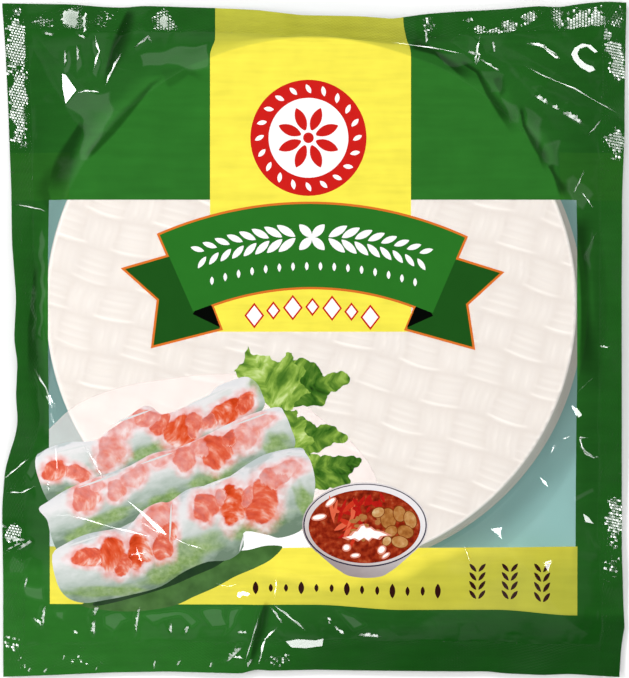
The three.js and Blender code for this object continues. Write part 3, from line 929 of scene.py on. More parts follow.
def ear_of_rice():
    """White grains along the ribbon, leaning out from a four-petalled flower in its middle."""
    stem = np.array(arc_through((-52, 32.5), (-3, 42.0), (50.5, 31.6), 61))
    line = np.array(arc_through((-42, 24.0), (-4, 30.0), (42, 23.4), 61))
    shapes = []
    for number in range(1, 9):
        for side in (-1, 1):
            index = 30 + side * (3 + 3 * number)
            here = stem[index]
            heading = math.atan2(*(stem[index + 1] - stem[index - 1])[::-1])
            size = 9.4 - 0.45 * number
            for lean, lift in ((0.62, 2.9), (-0.62, -2.9)):
                outward = 0 if side > 0 else math.pi
                turn = heading + outward + lean * side
                centre = here + np.array([-math.sin(heading), math.cos(heading)]) * lift
                shapes.append(Shape("print_white", grain(centre, size, size * 0.36, turn)))
    middle = stem[30]
    for quarter in range(4):
        turn = math.pi / 4 + quarter * math.pi / 2
        centre = middle + 3.7 * np.array([math.cos(turn), math.sin(turn)])
        shapes.append(Shape("print_white", grain(centre, 7.4, 3.6, turn)))
    for index in range(0, 61, 4):
        shapes.append(Shape("print_white", grain(line[index], 3.4, 1.5, math.pi / 2)))
    return shapes


def band_diamonds():
    """Small white diamonds with a red edge, in a row below the ribbon."""
    row = arc_through((-24.5, 9.6), (-2, 13.2), (23.5, 8.9), 7)
    shapes = []
    for number, centre in enumerate(row):
        size = 5.2 if number % 2 == 0 else 3.4
        diamond = [(centre[0] + size * 0.62 * dx, centre[1] + size * 0.8 * dy)
                   for dx, dy in ((1, 0), (0, 1), (-1, 0), (0, -1))]
        shapes.append(Shape("print_red", grown(diamond, 0.7)))
        shapes.append(Shape("print_white", diamond))
    return shapes


def badge_shapes():
    """A red ring with white grains round it, and a red rosette of grains on a white field."""
    shapes = [
        Shape("print_red", ellipse(BADGE_CENTRE, BADGE_RADIUS, BADGE_RADIUS, count=120)),
        Shape("print_white", ellipse(BADGE_CENTRE, BADGE_FIELD_RADIUS, BADGE_FIELD_RADIUS, count=96)),
    ]
    ring = (BADGE_RADIUS + BADGE_FIELD_RADIUS) / 2
    for step in range(20):
        turn = 2 * math.pi * step / 20
        centre = (BADGE_CENTRE[0] + ring * math.cos(turn), BADGE_CENTRE[1] + ring * math.sin(turn))
        shapes.append(Shape("print_white", grain(centre, 4.2, 1.9, turn + 0.5)))
    for step in range(8):
        turn = 2 * math.pi * (step + 0.5) / 8
        centre = (BADGE_CENTRE[0] + 8.2 * math.cos(turn), BADGE_CENTRE[1] + 8.2 * math.sin(turn))
        shapes.append(Shape("print_red", grain(centre, 10.2, 4.4, turn)))
    shapes.append(Shape("print_white", ellipse(BADGE_CENTRE, 3.4, 3.4)))
    shapes.append(Shape("print_red", ellipse(BADGE_CENTRE, 2.2, 2.2)))
    return shapes


def strip_ornament():
    """A dark row of grains on the yellow strip, and three short sprigs at its right end."""
    shapes = []
    for number in range(13):
        length, width = (5.4, 2.4) if number % 3 == 0 else (3.4, 1.7)
        shapes.append(Shape("print_brown", grain((-24.0 + 6.3 * number, -103.2), length, width, math.pi / 2)))
    for sprig in range(3):
        base = 68.0 + 13.5 * sprig
        for leaf in range(4):
            for side in (-1, 1):
                centre = (base + side * 1.9, -104.5 + 3.3 * leaf)
                shapes.append(Shape("print_brown", grain(centre, 4.3, 1.5, math.pi / 2 - side * 0.75)))
    return shapes


# The serving picture

Roll = namedtuple("Roll", "outline axis half_width bulges prawns greens seams")

# Each prawn: place, half length, half width, turn from +X and how clearly it shows. Each green
# patch: place, half length, half width, turn.
ROLLS = [
    Roll([(-117.6, -49.3), (-113.6, -46.8), (-102.9, -43.0), (-90.4, -42.1), (-85.1, -38.3), (-79.7, -34.7),
          (-70.8, -28.2), (-66.8, -28.4), (-63.2, -31.0), (-58.3, -30.3), (-51.2, -27.2), (-44.1, -23.8),
          (-39.6, -19.6), (-33.8, -17.3), (-28.0, -15.7), (-23.6, -18.2), (-21.3, -22.7), (-20.4, -28.0),
          (-27.1, -34.3), (-53.9, -46.8), (-76.2, -54.8), (-92.2, -59.3), (-102.9, -66.4), (-109.6, -68.4),
          (-115.0, -57.5)],
         [(-113.5, -56.5), (-93.0, -50.0), (-71.4, -41.2), (-51.1, -35.7), (-33.9, -26.5),
          (-20.5, -20.5)], 10.0,
         [(0, 0.9), (0.1, 1.05), (0.3, 1.0), (0.42, 1.1), (0.6, 0.9), (0.8, 1.05), (1, 0.98)],
         [(-107.3, -54.6, 4.6, 3.4, 0.2, 0.95), (-98.0, -56.0, 4.8, 2.6, -0.3, 0.8),
          (-84.0, -47.0, 5.4, 4.4, 1.1, 0.5), (-79.5, -37.0, 5.0, 2.9, 0.7, 0.35),
          (-68.5, -33.0, 5.6, 2.9, -0.2, 0.65), (-63.5, -35.5, 4.0, 2.6, 0.9, 0.9),
          (-55.0, -38.6, 5.4, 5.4, -0.5, 1.0), (-50.5, -36.0, 4.6, 3.4, 1.2, 0.85),
          (-42.5, -34.0, 3.4, 2.4, 0.5, 0.8), (-36.2, -30.6, 6.4, 3.6, 0.5, 1.0),
          (-28.8, -27.0, 4.4, 2.8, 0.9, 0.95)],
         [(-69, -46.5, 10, 2.6, 0.4), (-24.0, -19.5, 3.0, 4.0, 0.2), (-100, -63.0, 6, 2.0, 0.3)],
         [((-84, -35.5), (-66, -29.0)), ((-52, -27.5), (-36, -20.5)), ((-108, -47.5), (-92, -43.5))]),
    Roll([(-114.3, -70.8), (-110.5, -67.7), (-102.9, -62.8), (-94.0, -58.8), (-87.8, -56.6), (-76.2, -52.6),
          (-67.2, -47.7), (-58.3, -45.7), (-51.2, -43.0), (-44.1, -39.6), (-36.0, -35.6), (-27.1, -31.6),
          (-15.1, -28.2), (-11.8, -31.2), (-9.3, -37.0), (-7.7, -44.1), (-14.6, -50.3), (-49.4, -62.8),
          (-67.2, -71.7), (-85.1, -80.7), (-100.2, -86.0), (-106.3, -88.2), (-109.6, -80.7), (-110.9, -75.3)],
         [(-111.5, -77.0), (-87.4, -67.5), (-66.0, -58.6), (-43.0, -49.3), (-26.9, -41.4),
          (-9.9, -36.6)], 10.8,
         [(0, 0.85), (0.1, 1.0), (0.3, 0.98), (0.45, 0.9), (0.62, 1.02), (0.85, 1.05), (1, 0.95)],
         [(-94.4, -66.4, 4.6, 4.2, 0.4, 0.75), (-89.6, -60.6, 2.8, 2.2, 0.6, 0.4),
          (-81.6, -62.8, 3.4, 3.2, 1.2, 0.55), (-74.0, -57.2, 4.6, 3.0, 0.6, 0.4),
          (-62.6, -49.6, 4.6, 2.2, 0.3, 0.35), (-53.2, -49.4, 4.2, 3.8, 0.9, 0.7),
          (-46.0, -45.6, 3.8, 3.0, -0.4, 0.6), (-40.4, -46.6, 5.4, 5.2, 0.9, 0.95),
          (-34.4, -42.0, 3.2, 2.6, 0.5, 0.9), (-28.4, -40.4, 5.4, 4.0, 0.9, 0.5),
          (-23.4, -34.4, 5.6, 2.2, 0.2, 0.4)],
         [(-86, -74.5, 13, 3.0, 0.42), (-97, -81.5, 7, 3.2, 0.35), (-62, -67.0, 9, 3.2, 0.4),
          (-42, -57.6, 12, 3.4, 0.4), (-15, -44.5, 5.5, 6.0, 0.6)],
         [((-98, -62.0), (-80, -55.5)), ((-72, -52.0), (-58, -47.0)), ((-33, -35.8), (-18, -30.3))]),
    Roll([(-108.7, -90.0), (-102.9, -85.1), (-94.0, -81.1), (-83.3, -78.9), (-76.2, -77.1), (-71.3, -71.7),
          (-67.2, -68.9), (-63.2, -67.5), (-60.6, -67.7), (-58.3, -66.6), (-51.2, -61.9), (-40.5, -60.0),
          (-33.4, -56.1), (-27.1, -51.7), (-19.1, -47.5), (-6.2, -45.0), (-3.0, -47.7), (-0.5, -52.6),
          (0.7, -61.0), (-1.3, -70.8), (-4.8, -78.9), (-13.7, -82.3), (-19.1, -81.1), (-28.5, -79.8),
          (-29.1, -86.5), (-35.1, -91.4), (-44.1, -92.4), (-53.9, -96.7), (-63.7, -103.0), (-76.2, -106.5),
          (-86.9, -108.7), (-95.8, -109.9), (-102.9, -107.4), (-106.9, -101.2)],
         [(-107.8, -98.5), (-84.0, -94.6), (-64.7, -86.6), (-42.0, -74.6), (-20.3, -65.6),
          (0.6, -58.0)], 14.0,
         [(0, 0.85), (0.08, 0.98), (0.3, 1.02), (0.40, 1.0), (0.47, 1.18), (0.62, 1.12), (0.78, 1.0),
          (0.92, 1.05), (1, 0.9)],
         [(-93.2, -90.8, 5.6, 3.0, 0.0, 0.95), (-83.4, -90.0, 5.0, 5.6, 0.3, 1.0),
          (-79.0, -93.5, 4.0, 3.0, 1.3, 0.95), (-72.4, -88.4, 5.6, 4.2, 1.4, 1.0),
          (-62.4, -85.8, 4.8, 3.4, 1.5, 0.9), (-64.4, -74.6, 6.4, 4.4, 1.0, 0.55),
          (-60.6, -79.6, 3.4, 3.4, 1.2, 0.9), (-44.4, -69.4, 4.6, 4.4, 0.9, 0.85),
          (-38.0, -65.6, 3.0, 2.2, 1.4, 0.6), (-33.2, -68.6, 6.6, 4.2, 1.5, 1.0),
          (-27.4, -66.0, 4.2, 2.4, 1.2, 0.7), (-21.0, -66.8, 7.6, 5.2, 1.4, 0.95),
          (-16.8, -58.0, 5.6, 3.6, 0.5, 0.6), (-11.8, -54.2, 6.0, 2.6, 0.2, 0.4)],
         [(-88, -105.0, 18, 2.4, 0.05), (-52, -89.0, 15, 5.6, 0.5), (-62, -97.0, 10, 4.0, 0.4),
          (-24, -77.0, 14, 4.6, 0.3), (-3, -68.0, 4.0, 8.0, 0.4)],
         [((-106, -87.5), (-88, -81.5)), ((-58.8, -68.0), (-59.5, -84.0)), ((-48, -62.0), (-30, -55.5)),
          ((-28.6, -80.5), (-30.6, -88.0)), ((-14, -48.0), (-3, -47.4))]),
]

# Each leaf: points round it, the line of its main vein, and a tint from dark (0) to bright (1).
LEAVES = [
    ([(-14.0, -26.0), (-2.0, -27.0), (4.2, -26.5), (5.2, -22.8), (9.5, -20.6), (14.6, -16.6), (10.8, -14.2),
      (3.6, -15.8), (1.0, -11.4), (-8.0, -9.6)], ((-12, -22), (14, -16.4)), 0.22),
    ([(-33.2, -14.0), (-29.8, -9.4), (-27.6, -2.4), (-24.4, -6.0), (-19.4, -6.2), (-14.2, -9.0),
      (-11.8, -5.4), (-8.2, -5.6), (-7.6, -9.4), (-2.4, -12.6), (-4.6, -17.8), (-0.6, -22.0), (-5.6, -25.2),
      (-9.4, -30.4), (-16.4, -31.0), (-22.8, -24.0)], ((-14, -34), (-24.5, -7)), 0.80),
    ([(-18.0, -60.0), (1.0, -61.6), (8.4, -61.0), (14.2, -59.2), (14.0, -56.0), (18.2, -51.8), (18.0, -49.5),
      (7.6, -49.2), (0.4, -48.6), (-8.0, -48.0)], ((-12, -56), (17.6, -51)), 0.10),
    ([(-10.0, -46.8), (0.8, -46.4), (7.6, -42.8), (14.0, -41.8), (10.4, -38.8), (6.0, -36.0), (1.0, -36.8),
      (-5.0, -33.0), (-10.0, -36.0)], ((-10, -42), (13.4, -41.4)), 0.30),
    ([(-13.8, -27.4), (-10.4, -29.4), (-6.8, -28.6), (-5.6, -32.4), (-1.6, -33.6), (-3.0, -37.8),
      (1.4, -42.4), (-2.4, -45.8), (0.6, -51.4), (-5.4, -55.6), (-10.6, -50.0),
      (-13.0, -40.0)], ((-9, -54), (-8, -30)), 0.92),
]
LEAF_FRILL = 0.75

UNDER_LEAF = [(-63.7, -103.0), (-53.0, -95.0), (-42.3, -90.0), (-35.1, -88.0), (-27.1, -87.3), (-20.0, -85.6),
              (-14.0, -85.6), (-13.2, -86.9), (-17.8, -91.4), (-24.4, -94.9), (-32.5, -98.5), (-40.5, -103.0),
              (-49.4, -107.0), (-58.3, -111.0), (-72.6, -113.3), (-86.9, -112.9), (-95.8, -110.0)]
UNDER_SHADOW = [(-62.8, -101.5), (-53.0, -95.0), (-44.1, -91.0), (-35.0, -89.6), (-40.3, -94.2),
                (-49.4, -98.3), (-58.3, -102.3), (-67.2, -105.3), (-79.7, -108.9), (-91.0, -111.2),
                (-88.0, -108.0)]
PRINTED_SHEET = [(-109.8, -37.5), (-101, -29.5), (-93.0, -24.6), (-79, -19.8), (-64.7, -17.2), (-43, -14.6),
                 (-21.6, -15.5), (-8, -22.5), (1.1, -31.4), (14.7, -41.6), (24.9, -55.2), (27.0, -70),
                 (24, -86.4)]
WHITE_GAP = [(-28.5, -79.5), (-22.7, -80.5), (-14.6, -81.0), (-4.8, -79.5), (1.0, -78.8), (1.0, -85.1),
             (-12.9, -86.5), (-20.9, -86.0), (-28.0, -88.2), (-30.7, -88.8)]
BOWL_CENTRE = (21.3, -77.0)
BOWL_RIM = (26.0, 17.6)
BOWL_DEPTH = 21.5
# The nuts on the sauce and the gleams on sauce and bowl, from the middle of the bowl's mouth: place,
# half width, half height and turn.
NUTS = [(9.6, 2.6, 3.1, 4.3, 0.1), (14.3, 4.6, 2.5, 3.2, 0.2), (18.7, 2.2, 2.4, 3.6, 0.35),
        (5.4, 5.2, 2.6, 1.9, 0.4), (16.7, -2.8, 3.3, 2.5, -0.3), (10.8, -2.6, 2.6, 2.1, 0.5),
        (14.4, -7.0, 3.4, 2.3, -0.2), (9.0, -6.6, 2.0, 1.6, 0.9)]
SMALL_GLEAMS = [(-7.6, -9.4, 1.3, 1.1, 0.3), (6.9, -10.3, 1.5, 1.2, 0.8), (-4.0, -12.6, 1.6, 0.6, 0.1),
                (8.6, -12.6, 1.5, 0.5, 0.6), (-19.0, 3.2, 2.6, 0.9, 0.2), (-14.2, 9.4, 2.2, 0.8, 0.7)]
# A white star on the sauce, from the middle of the bowl's mouth: a painted highlight where the film over the
# picture reflects the light.
PAINTED_SAUCE_HIGHLIGHT = [(-7.9, -5.0), (-5.6, -4.4), (-4.2, -2.8), (-3.0, -2.6), (-1.6, -0.6), (-0.4, -0.2),
               (0.4, -1.4), (2.2, -1.2), (3.8, -2.4), (6.2, -2.8), (9.4, -4.2), (6.4, -4.6), (5.2, -5.8),
               (2.8, -5.2), (1.4, -6.4), (-0.4, -5.2), (-2.4, -6.4), (-4.2, -5.4), (-5.8, -5.9)]
# What the half lengths and half widths of the prawns are multiplied by.
PRAWN_SIZE = 1.2


def smooth_ring(points, count):
    """A smooth closed curve through the points."""
    ring = smooth_path(points[-2:] + points + points[:2], count * (len(points) + 3))
    first = 2 * count * (len(points) + 3) // (len(points) + 3)
    return [tuple(p) for p in ring[first:first + count * len(points)]]


def roll_width(roll, share):
    """Half the width of a roll at a share of its length, with its bulges."""
    places, factors = zip(*roll.bulges)
    steps = np.linspace(0, 1, 41)
    rough = np.interp(steps, places, factors)
    soft = np.convolve(np.pad(rough, 2, "edge"), np.ones(5) / 5, "valid")
    return roll.half_width * np.interp(share, steps, soft)


def seam_outline(seam):
    """The thin pointed outline of a seam in a roll's wrapper."""
    (ax, ay), (bx, by) = seam
    return grain(((ax + bx) / 2, (ay + by) / 2), math.dist(*seam), 0.75, math.atan2(by - ay, bx - ax))


def leaf_outline(leaf):
    """The leaf's outline with small rounded frills along it."""
    ring = np.array(smooth_ring(leaf[0], 9))
    step = np.roll(ring, -1, axis=0) - np.roll(ring, 1, axis=0)
    length = np.linalg.norm(step, axis=1)
    outward = np.column_stack([step[:, 1], -step[:, 0]]) / np.maximum(length, 1e-6)[:, None]
    run = np.cumsum(length) / 2
    frill = np.abs(np.sin(run * 0.62)) + 0.5 * np.abs(np.sin(run * 1.07 + 1))
    return [tuple(p) for p in ring + outward * (frill * LEAF_FRILL)[:, None]]


def picture_shapes():
    """The serving picture, from the back to the front, and the strip that it stands on."""
    sheet = [tuple(p) for p in smooth_path(PRINTED_SHEET, 90)]
    corner = (WINDOW[0], WINDOW[1])
    inner = [tuple(p) for p in smooth_path([(x, y - 0.6) for x, y in PRINTED_SHEET], 90)]
    shapes = [
        Shape("printed_sheet_edge", sheet + [corner]),
        Shape("printed_sheet", [(max(x, WINDOW[0]), max(y, WINDOW[1])) for x, y in inner] + [corner]),
        Shape("yellow", rectangle(*YELLOW_STRIP)),
        Shape("printed_gap", [tuple(p) for p in smooth_ring(WHITE_GAP, 5)]),
    ]
    shapes += strip_ornament()
    shapes += [Shape(f"leaf_{number}", leaf_outline(leaf)) for number, leaf in enumerate(LEAVES)]
    shapes.append(Shape("under_leaf", [tuple(p) for p in smooth_ring(UNDER_LEAF, 6)]))
    shapes.append(Shape("under_shadow", [tuple(p) for p in smooth_ring(UNDER_SHADOW, 6)]))
    for number, roll in enumerate(ROLLS):
        shapes.append(Shape(f"roll_{number}", smooth_ring(roll.outline, 4)))
        shapes += [Shape("roll_seam", seam_outline(seam)) for seam in roll.seams]
    return shapes + bowl_shapes()


def bowl_shapes():
    """The bowl of sauce: shreds and chopped chilli, garlic and nuts, the printed gleams on them, and a
    painted highlight on the sauce.
    """
    x, y = BOWL_CENTRE
    across, up = BOWL_RIM
    random = np.random.default_rng(5)
    side = [(0, 1.0), (0.45, 0.81), (0.74, 0.56), (0.88, 0.4), (0.97, 0.25), (1.0, 0)]
    body = [(x + sign * across * wide, y - BOWL_DEPTH * deep)
            for sign, half in ((-1, side), (1, side[-2::-1])) for deep, wide in half]
    body = [tuple(point) for point in smooth_path(body, 60)]
    shapes = [
        Shape("bowl", body),
        Shape("bowl", ellipse(BOWL_CENTRE, across, up, count=110)),
        Shape("bowl_line", ellipse((x, y - 0.1), across - 0.5, up - 0.5, count=110)),
        Shape("bowl_inside", ellipse((x, y), across - 1.0, up - 0.95, count=110)),
        Shape("sauce", ellipse((x - 0.2, y - 0.6), across - 2.9, up - 2.5, count=100)),
    ]
    for number in range(21):
        centre = (x + random.uniform(-15, -1), y + random.uniform(-7, 9))
        turn = random.normal(1.15, 0.8)
        ink = ("carrot", "carrot_lit", "chilli")[number % 3]
        shapes.append(Shape(ink, grain(centre, random.uniform(7, 12), random.uniform(1.2, 2.2), turn)))
    for _ in range(12):
        centre = (x + random.uniform(-4, 8), y + random.uniform(6, 12))
        size_and_turn = (random.uniform(3, 6), random.uniform(1.2, 2.0), random.uniform(0, 3))
        shapes.append(Shape("chilli", grain(centre, *size_and_turn)))
    for _ in range(22):
        centre = (x + random.uniform(-6, 6), y + random.uniform(-6, 4))
        size = (random.uniform(0.8, 1.9), random.uniform(0.6, 1.2))
        shapes.append(Shape("garlic", ellipse(centre, *size, count=14)))
    for number, (column, row, *size_and_turn) in enumerate(NUTS):
        outline = ellipse((x + column, y + row), *size_and_turn, 30)
        shapes.append(Shape("peanut_edge", grown(outline, 0.3)))
        shapes.append(Shape(f"peanut_{number}", outline))
    # The star on the sauce, a painted highlight, with a pink rim round it.
    edge = [(x + 0.3 + 1.2 * (dx - 0.3), y - 3.8 + 1.2 * (dy + 3.8)) for dx, dy in PAINTED_SAUCE_HIGHLIGHT]
    shapes.append(Shape("print_gleam_edge", edge))
    shapes.append(Shape("print_gleam", [(x + dx, y + dy) for dx, dy in PAINTED_SAUCE_HIGHLIGHT]))
    for column, row, wide, high, turn in SMALL_GLEAMS:
        edge = ellipse((x + column, y + row), wide + 0.6, high + 0.5, turn, 24)
        shapes.append(Shape("print_gleam_edge", edge))
        spot = ellipse((x + column - 0.1, y + row + 0.1), wide, high, turn, 18)
        shapes.append(Shape("print_gleam", spot))
    return shapes


def ground_shapes():
    """The window and the yellow grounds; whatever no shape covers is green."""
    shapes = [Shape("green_over_yellow", rectangle(*box)) for box in YELLOW_BEHIND]
    return shapes + [Shape("window", rectangle(*WINDOW)), Shape("yellow", rectangle(*YELLOW_BAND))]


PIECE_INKS = {
    "front_film_window": ("window",),
    "front_film_green_print_upper": ("green", "green_over_yellow"),
    "front_film_green_print_lower": ("green",),
    "front_film_yellow_print": ("yellow", "print_brown"),
    "front_film_ribbon": ("ribbon_edge", "ribbon_tail", "ribbon_fold", "ribbon_green"),
    "front_film_badge": ("print_red", "print_white"),
    "front_film_serving_picture": (
        "printed_sheet_edge", "printed_sheet", "printed_gap", "leaf", "under_leaf", "under_shadow", "roll",
        "roll_seam", "bowl", "bowl_line", "bowl_inside", "sauce", "carrot", "carrot_lit", "chilli", "garlic",
        "peanut", "peanut_edge", "print_gleam", "print_gleam_edge",
    ),
}


def resampled(outline, step):
    """The outline as a closed row of points no more than a step apart."""
    points = []
    for start, end in zip(outline, outline[1:] + outline[:1]):
        count = max(1, math.ceil(math.dist(start, end) / step))
        for index in range(count):
            share = index / count
            points.append((start[0] + share * (end[0] - start[0]), start[1] + share * (end[1] - start[1])))
    return points


def inside(outline, s, t):
    """Which of the points lie inside the outline, by counting the sides that each one passes."""
    found = np.zeros(len(s), bool)
    for (ax, ay), (bx, by) in zip(outline, outline[1:] + outline[:1]):
        if ay == by:
            continue
        crosses = (ay > t) != (by > t)
        found ^= crosses & (s < (bx - ax) * (t - ay) / (by - ay) + ax)
    return found


PrintedFilm = namedtuple("PrintedFilm", "s t place normals flash triangles inks ink_of")


def cut_flat(rings, spots, tolerance, smallest=0.0):
    """Triangles, all facing up, between closed rings of points and the spots among them. Those with
    less than half the smallest area are dropped."""
    points, edges = [], []
    for ring in rings:
        first = len(points)
        points.extend(ring)
        edges.extend((first + i, first + (i + 1) % len(ring)) for i in range(len(ring)))
    points.extend(spots)
    found, _, faces, _, _, _ = delaunay_2d_cdt([Vector(p) for p in points], edges, [], 0, tolerance)
    flat, faces = np.array([tuple(p) for p in found]), np.array(faces)
    a, b, c = (flat[faces[:, k]] for k in range(3))
    turned = (b[:, 0] - a[:, 0]) * (c[:, 1] - a[:, 1]) - (b[:, 1] - a[:, 1]) * (c[:, 0] - a[:, 0])
    faces[turned < 0] = faces[turned < 0][:, ::-1]
    return flat, faces[np.abs(turned) >= smallest]


@functools.lru_cache(maxsize=None)
def printed_film():
    """The whole front film as one mesh, cut along every outline of the print and every crease."""
    half_width, half_length = PACK_WIDTH / 2, PACK_LENGTH / 2
    shapes = ground_shapes() + picture_shapes() + badge_shapes() + ribbon_shapes() + band_diamonds()
    rings = [resampled(rectangle(-half_width, -half_length, half_width, half_length), EDGE_STEP)]
    rings += [resampled(shape.outline, OUTLINE_STEP) for shape in shapes]
    for outline in flash_outlines():
        ring = np.array(resampled([tuple(point) for point in outline], FLASH_STEP))
        rings.append(list(zip(*flat_from_place(ring[:, 0], ring[:, 1]))))
    rings = [[(min(max(s, -half_width), half_width), min(max(t, -half_length), half_length)) for s, t in ring]
             for ring in rings]
    grid_s, grid_t = (axis.ravel() for axis in np.meshgrid(
        np.arange(-half_width + FINE_STEP / 2, half_width, FINE_STEP),
        np.arange(-half_length + FINE_STEP / 2, half_length, FINE_STEP), indexing="ij"))
    row_s = np.round((grid_s + half_width) / FINE_STEP - 0.5).astype(int)
    row_t = np.round((grid_t + half_length) / FINE_STEP - 0.5).astype(int)
    from_rim = slack_film(grid_s, grid_t, *place_on_pack(grid_s, grid_t))[0]
    # Fine where the film is slack, half as fine in the picture and coarse on the stack.
    in_picture = (grid_s < 50) & (grid_t < 0)
    keep = (from_rim > -4) | (in_picture & ((row_s + row_t) % 2 == 0)) | ((row_s % 2 == 0) & (row_t % 2 == 0))
    flat, triangles = cut_flat(rings, zip(grid_s[keep].tolist(), grid_t[keep].tolist()), 1e-3, 1e-5)
    inks = ["green"] + sorted({shape.ink for shape in shapes} - {"green"})
    ink_of = np.zeros(len(triangles), int)
    centre = flat[triangles].mean(1)
    for shape in shapes:
        outline = np.array(shape.outline)
        near = np.flatnonzero(((centre >= outline.min(0)) & (centre <= outline.max(0))).all(1))
        hit = near[inside(shape.outline, centre[near, 0], centre[near, 1])]
        ink_of[hit] = inks.index(shape.ink)
    s, t = flat[:, 0], flat[:, 1]
    x, y = place_on_pack(s, t)
    place = np.column_stack([x, y, film_heights(s, t, x, y)[0]])
    calm, flashing = with_flashes(place, vertex_normals(place, triangles), slack_film(s, t, x, y)[1])
    # A triangle flashes as a whole or not at all, so that each flash has a crisp outline.
    flash = flashing.any(1)[triangles].all(1)
    normals = np.where(flash[:, None, None], flashing[triangles], calm[triangles])
    return PrintedFilm(s, t, place, normals, flash, triangles, inks, ink_of)


def vertex_normals(place, triangles):
    """The normal at each point, from the triangles round it, the larger ones counting for more."""
    a, b, c = (place[triangles[:, k]] for k in range(3))
    face = np.cross(b - a, c - a)
    normals = np.zeros_like(place)
    for k in range(3):
        np.add.at(normals, triangles[:, k], face)
    return normals / np.maximum(np.linalg.norm(normals, axis=1), 1e-12)[:, None]


# ---------------------------------------------------------------------------------------------
# Painting values that the picture's materials read
# ---------------------------------------------------------------------------------------------

def turned_values(s, t, centre, along, across, turn):
    """A point's place in an ellipse: 1 is its edge, along and across its long axis."""
    ds, dt = s - centre[0], t - centre[1]
    return ((ds * math.cos(turn) + dt * math.sin(turn)) / along,
            (-ds * math.sin(turn) + dt * math.cos(turn)) / across)


def soft_spots(spots, s, t):
    """1 inside soft, slightly ragged ellipses and 0 well away from them."""
    total = np.zeros_like(s)
    for centre_s, centre_t, along, across, turn in spots:
        u, v = turned_values(s, t, (centre_s, centre_t), along, across, turn)
        ragged = 0.12 * np.sin(u * 7 + centre_s) + 0.10 * np.sin(v * 6 + u * 4 + centre_t)
        total = np.maximum(total, 1 - rise(0.55, 1.35, np.hypot(u, v) + ragged))
    return total


def roll_values(roll, s, t):
    """Across a roll from -1 (lower edge) to 1 (upper edge), and along it in millimetres."""
    path = smooth_path(roll.axis, 60)
    lengths = lengths_along(path)
    best = np.full(len(s), 1e9)
    across, along = np.zeros(len(s)), np.zeros(len(s))
    for index in range(len(path) - 1):
        start, end = path[index], path[index + 1]
        distance, share = distance_to_line(s, t, start, end)
        run = (end - start) / np.linalg.norm(end - start)
        side = -(s - start[0]) * run[1] + (t - start[1]) * run[0]
        nearer = distance < best
        best = np.where(nearer, distance, best)
        across = np.where(nearer, side, across)
        along = np.where(nearer, lengths[index] + share * (lengths[index + 1] - lengths[index]), along)
    return across / roll_width(roll, along / lengths[-1]), along


PAINT_NAMES = ("across", "along", "first", "second", "clear", "prawn_along", "prawn_across")


def leaf_values(leaf, s, t):
    base, tip = leaf[1]
    run = np.subtract(tip, base)
    length = np.hypot(*run)
    run = run / length
    along = (s - base[0]) * run[0] + (t - base[1]) * run[1]
    across = -(s - base[0]) * run[1] + (t - base[1]) * run[0]
    return across / 9.0, along


def prawn_values(roll, s, t):
    """How far inside the nearest prawn a point is (1 at its edge), how clearly that prawn shows,
    and the place along and across it."""
    best = np.full(len(s), 1e9)
    clear, along, across = np.zeros(len(s)), np.zeros(len(s)), np.zeros(len(s))
    for number, (centre_s, centre_t, half_along, half_across, turn, shows) in enumerate(roll.prawns):
        u, v = turned_values(s, t, (centre_s, centre_t), PRAWN_SIZE * half_along, PRAWN_SIZE * half_across,
                             turn)
        angle = np.arctan2(v, u)
        reach = np.hypot(u, v) + 0.10 * np.sin(3 * angle + number) + 0.06 * np.sin(5 * angle + 2.3 * number)
        nearer = reach < best
        best = np.where(nearer, reach, best)
        clear = np.where(nearer, shows, clear)
        along = np.where(nearer, u * half_along + 20 * number, along)
        across = np.where(nearer, v, across)
    return np.clip(2 - best, 0, 2), clear, along, across


def ink_kind(ink):
    """The ink that a numbered part of the picture shares with the others of its kind."""
    return ink.rstrip("_0123456789")


def painted_values(ink, s, t):
    """What a motif's material reads at a point, one row for each name in PAINT_NAMES."""
    zero = np.zeros_like(s)
    kind = ink_kind(ink)
    number = int(ink[len(kind) + 1:] or 0)
    if kind == "roll":
        roll = ROLLS[number]
        depth, *prawn = prawn_values(roll, s, t)
        return *roll_values(roll, s, t), depth, soft_spots(roll.greens, s, t), *prawn
    if kind == "peanut":
        return zero, zero, zero + number % 4 / 3, zero, zero, zero, zero
    if kind == "leaf":
        return *leaf_values(LEAVES[number], s, t), zero + LEAVES[number][2], zero, zero, zero, zero
    if kind.startswith("bowl"):
        return *turned_values(s, t, BOWL_CENTRE, *BOWL_RIM, 0.0), zero, zero, zero, zero, zero
    return (zero,) * len(PAINT_NAMES)


# ---------------------------------------------------------------------------------------------
# Meshes
# ---------------------------------------------------------------------------------------------

def make_mesh(name, place, faces, normals=None):
    """A smooth mesh from points in millimetres. Its normals can be given, one for each point or
    one for each corner of each face."""
    mesh = bpy.data.meshes.new(name)
    mesh.from_pydata((place * MM).tolist(), [], faces)
    mesh.polygons.foreach_set("use_smooth", np.ones(len(mesh.polygons), bool))
    if normals is not None and len(normals) == len(mesh.vertices):
        mesh.normals_split_custom_set_from_vertices(normals.tolist())
    elif normals is not None:
        mesh.normals_split_custom_set(normals.reshape(-1, 3).tolist())
    return mesh


def add_values(mesh, name, values, domain="POINT"):
    """One number for each vertex, face or corner, for the materials to read by name."""
    layer = mesh.attributes.new(name, "FLOAT", domain)
    layer.data.foreach_set("value", np.asarray(values, np.float32))


def add_film_map(mesh, s, t):
    """The flat film's own millimetres, a hundredth of them, as a UV map."""
    layer = mesh.uv_layers.new(name="film")
    vertex_of = np.zeros(len(mesh.loops), int)
    mesh.loops.foreach_get("vertex_index", vertex_of)
    layer.uv.foreach_set("vector", np.column_stack([s[vertex_of], t[vertex_of]]).ravel() / 100)


